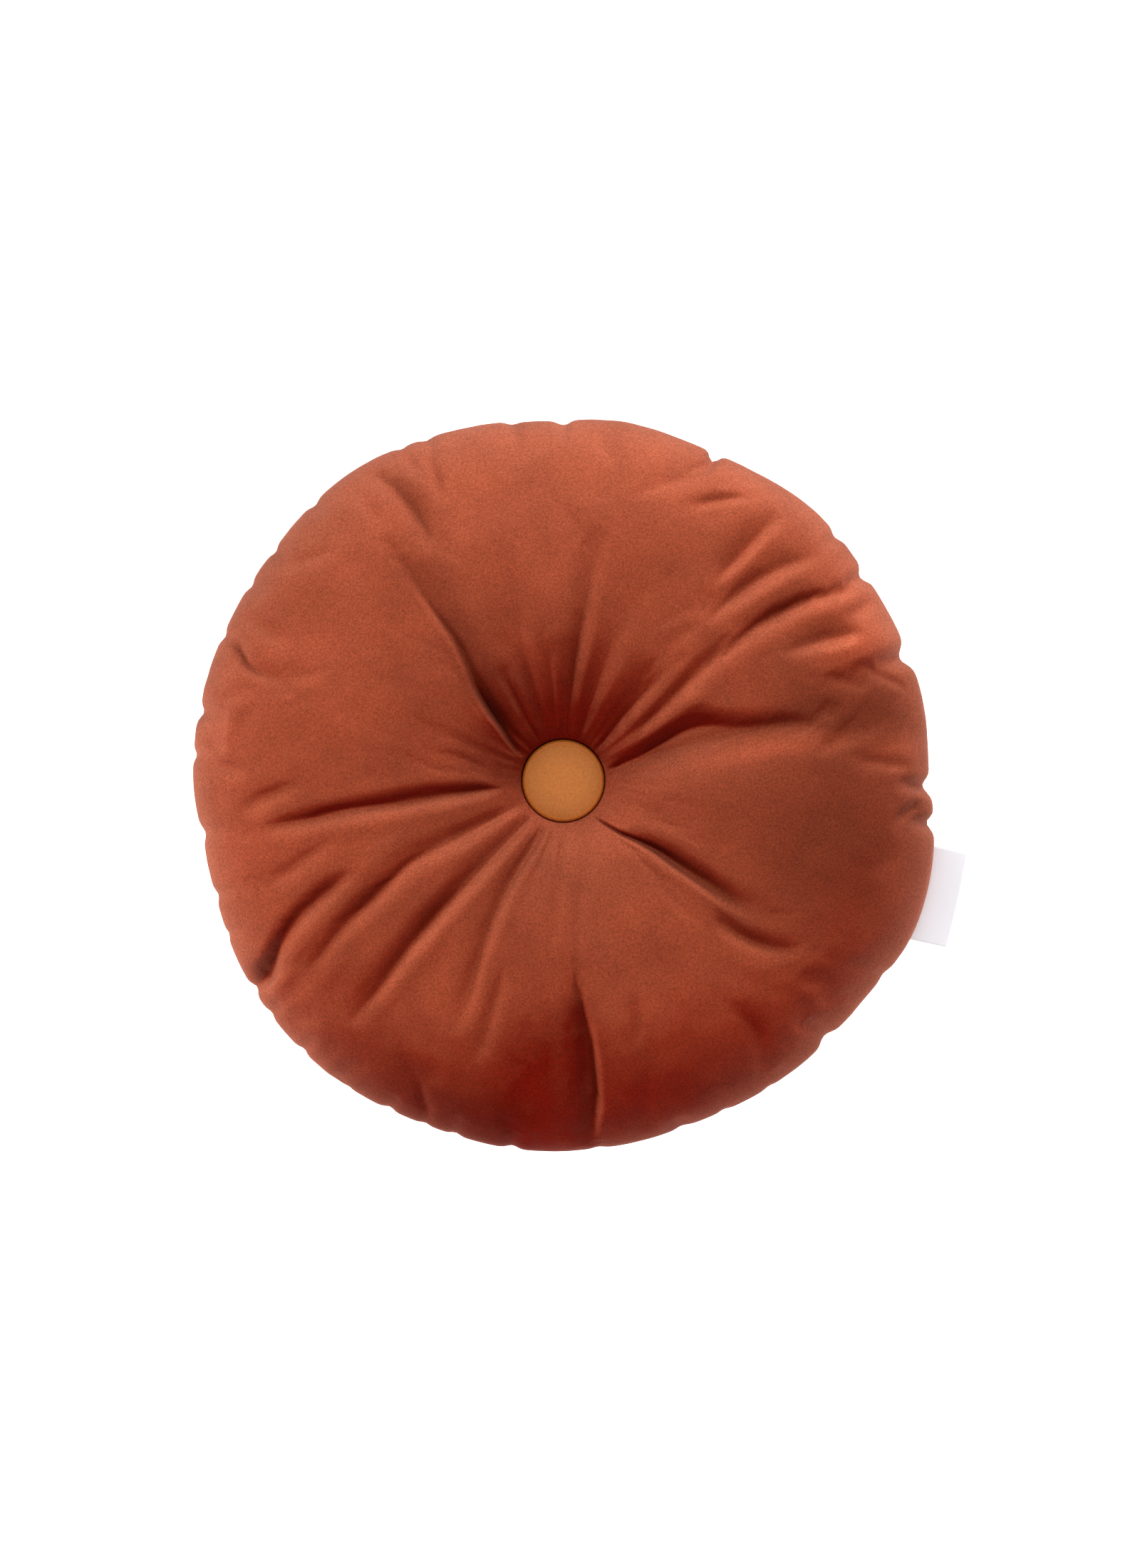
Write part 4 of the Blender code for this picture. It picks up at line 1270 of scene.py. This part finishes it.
def shade_red_share(tree, where):
    """How much painted wine red shade the cloth gets: the mesh's number times noise, so a patch has
    a ragged edge.
    """
    ragged = maths(tree, "MULTIPLY_ADD", noise(tree, where, cells=85, detail=6), *RAGGED)
    return maths(tree, "MULTIPLY", attribute(tree, "shade_red"), ragged, clamp=True)


def rim_sheen_share(tree, normal, patch):
    """How much painted sheen the rim gets: the steepness 1 - |normal's Z|, times the mesh's number
    for the rim, times the gain, and less where the pile is wine red."""
    parts = add(tree, "ShaderNodeSeparateXYZ")
    tree.links.new(normal, parts.inputs[0])
    steep = maths(tree, "SUBTRACT", 1.0, maths(tree, "ABSOLUTE", parts.outputs["Z"]))
    steep = maths(tree, "MULTIPLY", steep, attribute(tree, "edge"))
    steep = maths(tree, "MULTIPLY", steep, RIM_SHEEN_GAIN)
    return maths(tree, "MULTIPLY", steep, maths(tree, "SUBTRACT", 1.0, patch), clamp=True)


# %% The patches' painted shade and highlights, and the pile's blotches and fibres
PAINTED_SHADE_DEPTH = 0.42  # how much light a patch of painted shade takes away
BLOTCHES = (0.52, 0.74)  # gain and offset of the noise
FIBRES = (1.30, 0.35)


def shade_and_mottle(tree, where):
    """Painted shade: (1 - depth * the patches' number) times the noise of blotches times the noise
    of fibres. Where the number is negative, it is a painted highlight.
    """
    light = maths(tree, "MULTIPLY_ADD", attribute(tree, "shade_and_highlight"), -PAINTED_SHADE_DEPTH, 1.0)
    blotches = maths(tree, "MULTIPLY_ADD", noise(tree, where, cells=34, detail=7), *BLOTCHES)
    fibres = maths(tree, "MULTIPLY_ADD", noise(tree, where, cells=900, detail=2), *FIBRES)
    return maths(tree, "MULTIPLY", maths(tree, "MULTIPLY", light, blotches), fibres)


# %% Velvet
SHEEN = 0.23
SHEEN_LOST = 0.17  # by a wine red patch


def velvet():
    """The ramp's painted shade and light, with the patches' painted wine red shade and the rim's
    painted sheen laid over it, times the patches' painted shade and highlights and the noise. The
    sheen's weight is SHEEN - SHEEN_LOST * patch."""
    material, tree, shader = new_material("rust_velvet")
    where = tree.nodes.new("ShaderNodeTexCoord").outputs["Object"]
    normal = tree.nodes.new("ShaderNodeNewGeometry").outputs["Normal"]
    patch = shade_red_share(tree, where)
    colour = blend(tree, patch, lamp_facing_colour(tree, where, normal), SHADE_RED_PILE)
    colour = blend(tree, rim_sheen_share(tree, normal, patch), colour, RIM_SHEEN_PILE)
    colour = times(tree, colour, shade_and_mottle(tree, where))
    tree.links.new(colour, shader.inputs["Base Color"])
    sheen = maths(tree, "MULTIPLY_ADD", patch, -SHEEN_LOST, SHEEN)
    tree.links.new(sheen, shader.inputs["Sheen Weight"])
    shader.inputs["Sheen Roughness"].default_value = 0.30
    shader.inputs["Sheen Tint"].default_value = (1.0, 0.50, 0.40, 1)
    shader.inputs["Roughness"].default_value = 0.60
    shader.inputs["IOR"].default_value = 1.45
    shader.inputs["Specular IOR Level"].default_value = 0.06
    shader.inputs["Specular Tint"].default_value = (1.0, 0.36, 0.20, 1)
    fibre = noise(tree, where, cells=1300, detail=2)
    roughen(tree, shader, fibre, strength=0.35, distance=0.0006)
    return material


# %% [markdown]
# ## Leather
#
# The buttons' leather is tan, and a little deeper in colour towards its edge.
# Its pores are fine noise in the colour, and its grain is a pattern of small cells as a bump.

# %% Leather
LEATHER_FACE = (0.612, 0.191, 0.034)
LEATHER_EDGE = (0.590, 0.160, 0.015)
PORES = (0.60, 0.70)  # gain and offset of the noise


def leather():
    """A ramp from the face's colour to the edge's, by the mesh's number, times the pores."""
    material, tree, shader = new_material("tan_leather")
    where = tree.nodes.new("ShaderNodeTexCoord").outputs["Object"]
    mottle = maths(tree, "MULTIPLY", noise(tree, where, cells=160, detail=3), 0.10)
    factor = maths(tree, "ADD", attribute(tree, "towards_edge"), mottle)
    colour = ramp(tree, factor, [(0.0, *LEATHER_FACE), (0.86, *LEATHER_FACE), (1.0, *LEATHER_EDGE)])
    pores = maths(tree, "MULTIPLY_ADD", noise(tree, where, cells=800, detail=3), *PORES)
    tree.links.new(times(tree, colour, pores), shader.inputs["Base Color"])
    shader.inputs["Roughness"].default_value = 0.58
    shader.inputs["Specular IOR Level"].default_value = 0.35
    grain = tree.nodes.new("ShaderNodeTexVoronoi")
    grain.inputs["Scale"].default_value = 1500
    tree.links.new(where, grain.inputs["Vector"])
    roughen(tree, shader, grain.outputs["Distance"], strength=0.25, distance=0.0003)
    return material


# %% [markdown]
# ## Woven ribbon
#
# The ribbon is nearly white, with its threads running across. A wave pattern on the ribbon's own UV
# map makes them, because a pattern on the map follows the ribbon round its fold.

# %% Woven ribbon
RIBBON_WHITE = (0.90, 0.87, 0.91)
THREAD_SHADE = 0.93


def ribbon():
    """A wave along the UV map that shades the white by a few per cent and raises it as a bump."""
    material, tree, shader = new_material("woven_ribbon")
    weave = tree.nodes.new("ShaderNodeTexWave")
    weave.inputs["Scale"].default_value = 1.2
    weave.inputs["Distortion"].default_value = 0.6
    tree.links.new(tree.nodes.new("ShaderNodeTexCoord").outputs["UV"], weave.inputs["Vector"])
    shade = ramp(tree, weave.outputs["Fac"], [
        (0.0, *[THREAD_SHADE * c for c in RIBBON_WHITE]), (1.0, *RIBBON_WHITE)])
    tree.links.new(shade, shader.inputs["Base Color"])
    shader.inputs["Roughness"].default_value = 0.62
    shader.inputs["Sheen Weight"].default_value = 0.2
    roughen(tree, shader, weave.outputs["Fac"], strength=0.2, distance=0.0002)
    return material


# %% [markdown]
# ## Put the pieces on the model
#
# Every piece gets its finish, rides on the one body that the part has, and stands for the CAD node
# that it replaces.

# %% Put the pieces on the model
leather_finish = leather()
for piece, finish, node, slot in [
    (cover, velvet(), "cushion", "velvet"),
    (front_button, leather_finish, "front_button", "button_leather"),
    (back_button, leather_finish, "back_button", "button_leather"),
    (label, ribbon(), "label", "label_ribbon"),
]:
    piece.data.materials.append(finish)
    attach(piece, "root")
    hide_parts(node)
    print(piece.name, "stands for", node)

# %% [markdown]
# ## The studio
#
# The photograph looks straight down on the cushion's face. Three soft windows stand low around it:
# a wide one beyond its top edge, a second to the left and a weaker one at the lower right. Low
# light is what shows the folds, since each wall that faces away goes dark. An even light from the
# whole room fills the shadows. The floor shines white by itself, as a lit backdrop does, but it
# neither lights the cushion nor shows in its sheen, so it doesn't wash out the rim.

# %% The camera
FRAME_WIDTH = 0.696  # how much of the floor the picture is wide
CAMERA_HEIGHT = 4.0  # above the seam
CAMERA_SIDE = 4.1  # the picture's middle lies this far to the right of the tuft
CAMERA_DOWN = 2.0  # and this far below it
SENSOR_WIDTH = 36

camera_data = bpy.data.cameras.new("camera")
camera_data.sensor_fit = "HORIZONTAL"
camera_data.sensor_width = SENSOR_WIDTH
camera_data.lens = SENSOR_WIDTH * CAMERA_HEIGHT / FRAME_WIDTH
camera = bpy.data.objects.new("camera", camera_data)
bpy.context.scene.collection.objects.link(camera)
camera.location = (
    TUFT_X + CAMERA_SIDE * MM,
    TUFT_Y - CAMERA_DOWN * MM,
    CAMERA_HEIGHT + SEAM_HEIGHT * MM,
)
bpy.context.scene.camera = camera
print("the lens is", round(camera_data.lens, 1), "mm long")

# %% The floor
FLOOR_REACH = 10.0
FLOOR_DROP = 0.0005  # just under the cushion's back

floor_mesh = bpy.data.meshes.new("floor")
floor_mesh.from_pydata(
    [(x * FLOOR_REACH, y * FLOOR_REACH, 0) for x, y in ((-1, -1), (1, -1), (1, 1), (-1, 1))],
    [],
    [(0, 1, 2, 3)],
)
floor = bpy.data.objects.new("floor", floor_mesh)
floor.location.z = -FLOOR_DROP
bpy.context.scene.collection.objects.link(floor)
floor_finish, floor_tree, floor_shader = new_material("pale_floor")
floor_shader.inputs["Base Color"].default_value = (0.93, 0.93, 0.93, 1)
floor_shader.inputs["Roughness"].default_value = 0.9
floor_shader.inputs["Emission Color"].default_value = (1, 1, 1, 1)
floor_shader.inputs["Emission Strength"].default_value = 1.0
floor.visible_diffuse = False
floor.visible_glossy = False
floor.data.materials.append(floor_finish)

# %% The lights
LIGHT_DISTANCE = 2.2
LIGHT_HEIGHT = 0.9
AIM_HEIGHT = 0.06  # above the floor, about the middle of the cushion


def soft_light(name, azimuth, elevation, width, watts):
    """A window of light aimed at the cushion's middle. Azimuth is counted from +X. A light shines
    along its own -Z, so it is tilted by the angle between that and straight down, then turned."""
    light = bpy.data.lights.new(name, "AREA")
    light.shape = "RECTANGLE"
    light.size = width
    light.size_y = LIGHT_HEIGHT
    light.energy = watts
    window = bpy.data.objects.new(name, light)
    turn, rise = math.radians(azimuth), math.radians(elevation)
    x = LIGHT_DISTANCE * math.cos(rise) * math.cos(turn)
    y = LIGHT_DISTANCE * math.cos(rise) * math.sin(turn)
    z = LIGHT_DISTANCE * math.sin(rise)
    window.location = (x, y, z + AIM_HEIGHT)
    window.rotation_euler = (math.atan2(math.hypot(x, y), z), 0, math.atan2(x, -y))
    bpy.context.scene.collection.objects.link(window)
    print(name, "gives", watts, "watts")


soft_light("upper window", 66, 14, 1.7, 38)
soft_light("left window", 204, 13, 1.0, 34)
soft_light("lower wall", 308, 16, 1.0, 16)
world = bpy.data.worlds.new("room")
world.use_nodes = True
world.node_tree.nodes["Background"].inputs["Color"].default_value = (1, 1, 1, 1)
world.node_tree.nodes["Background"].inputs["Strength"].default_value = 0.70
bpy.context.scene.world = world
bpy.context.scene.view_settings.view_transform = "Standard"
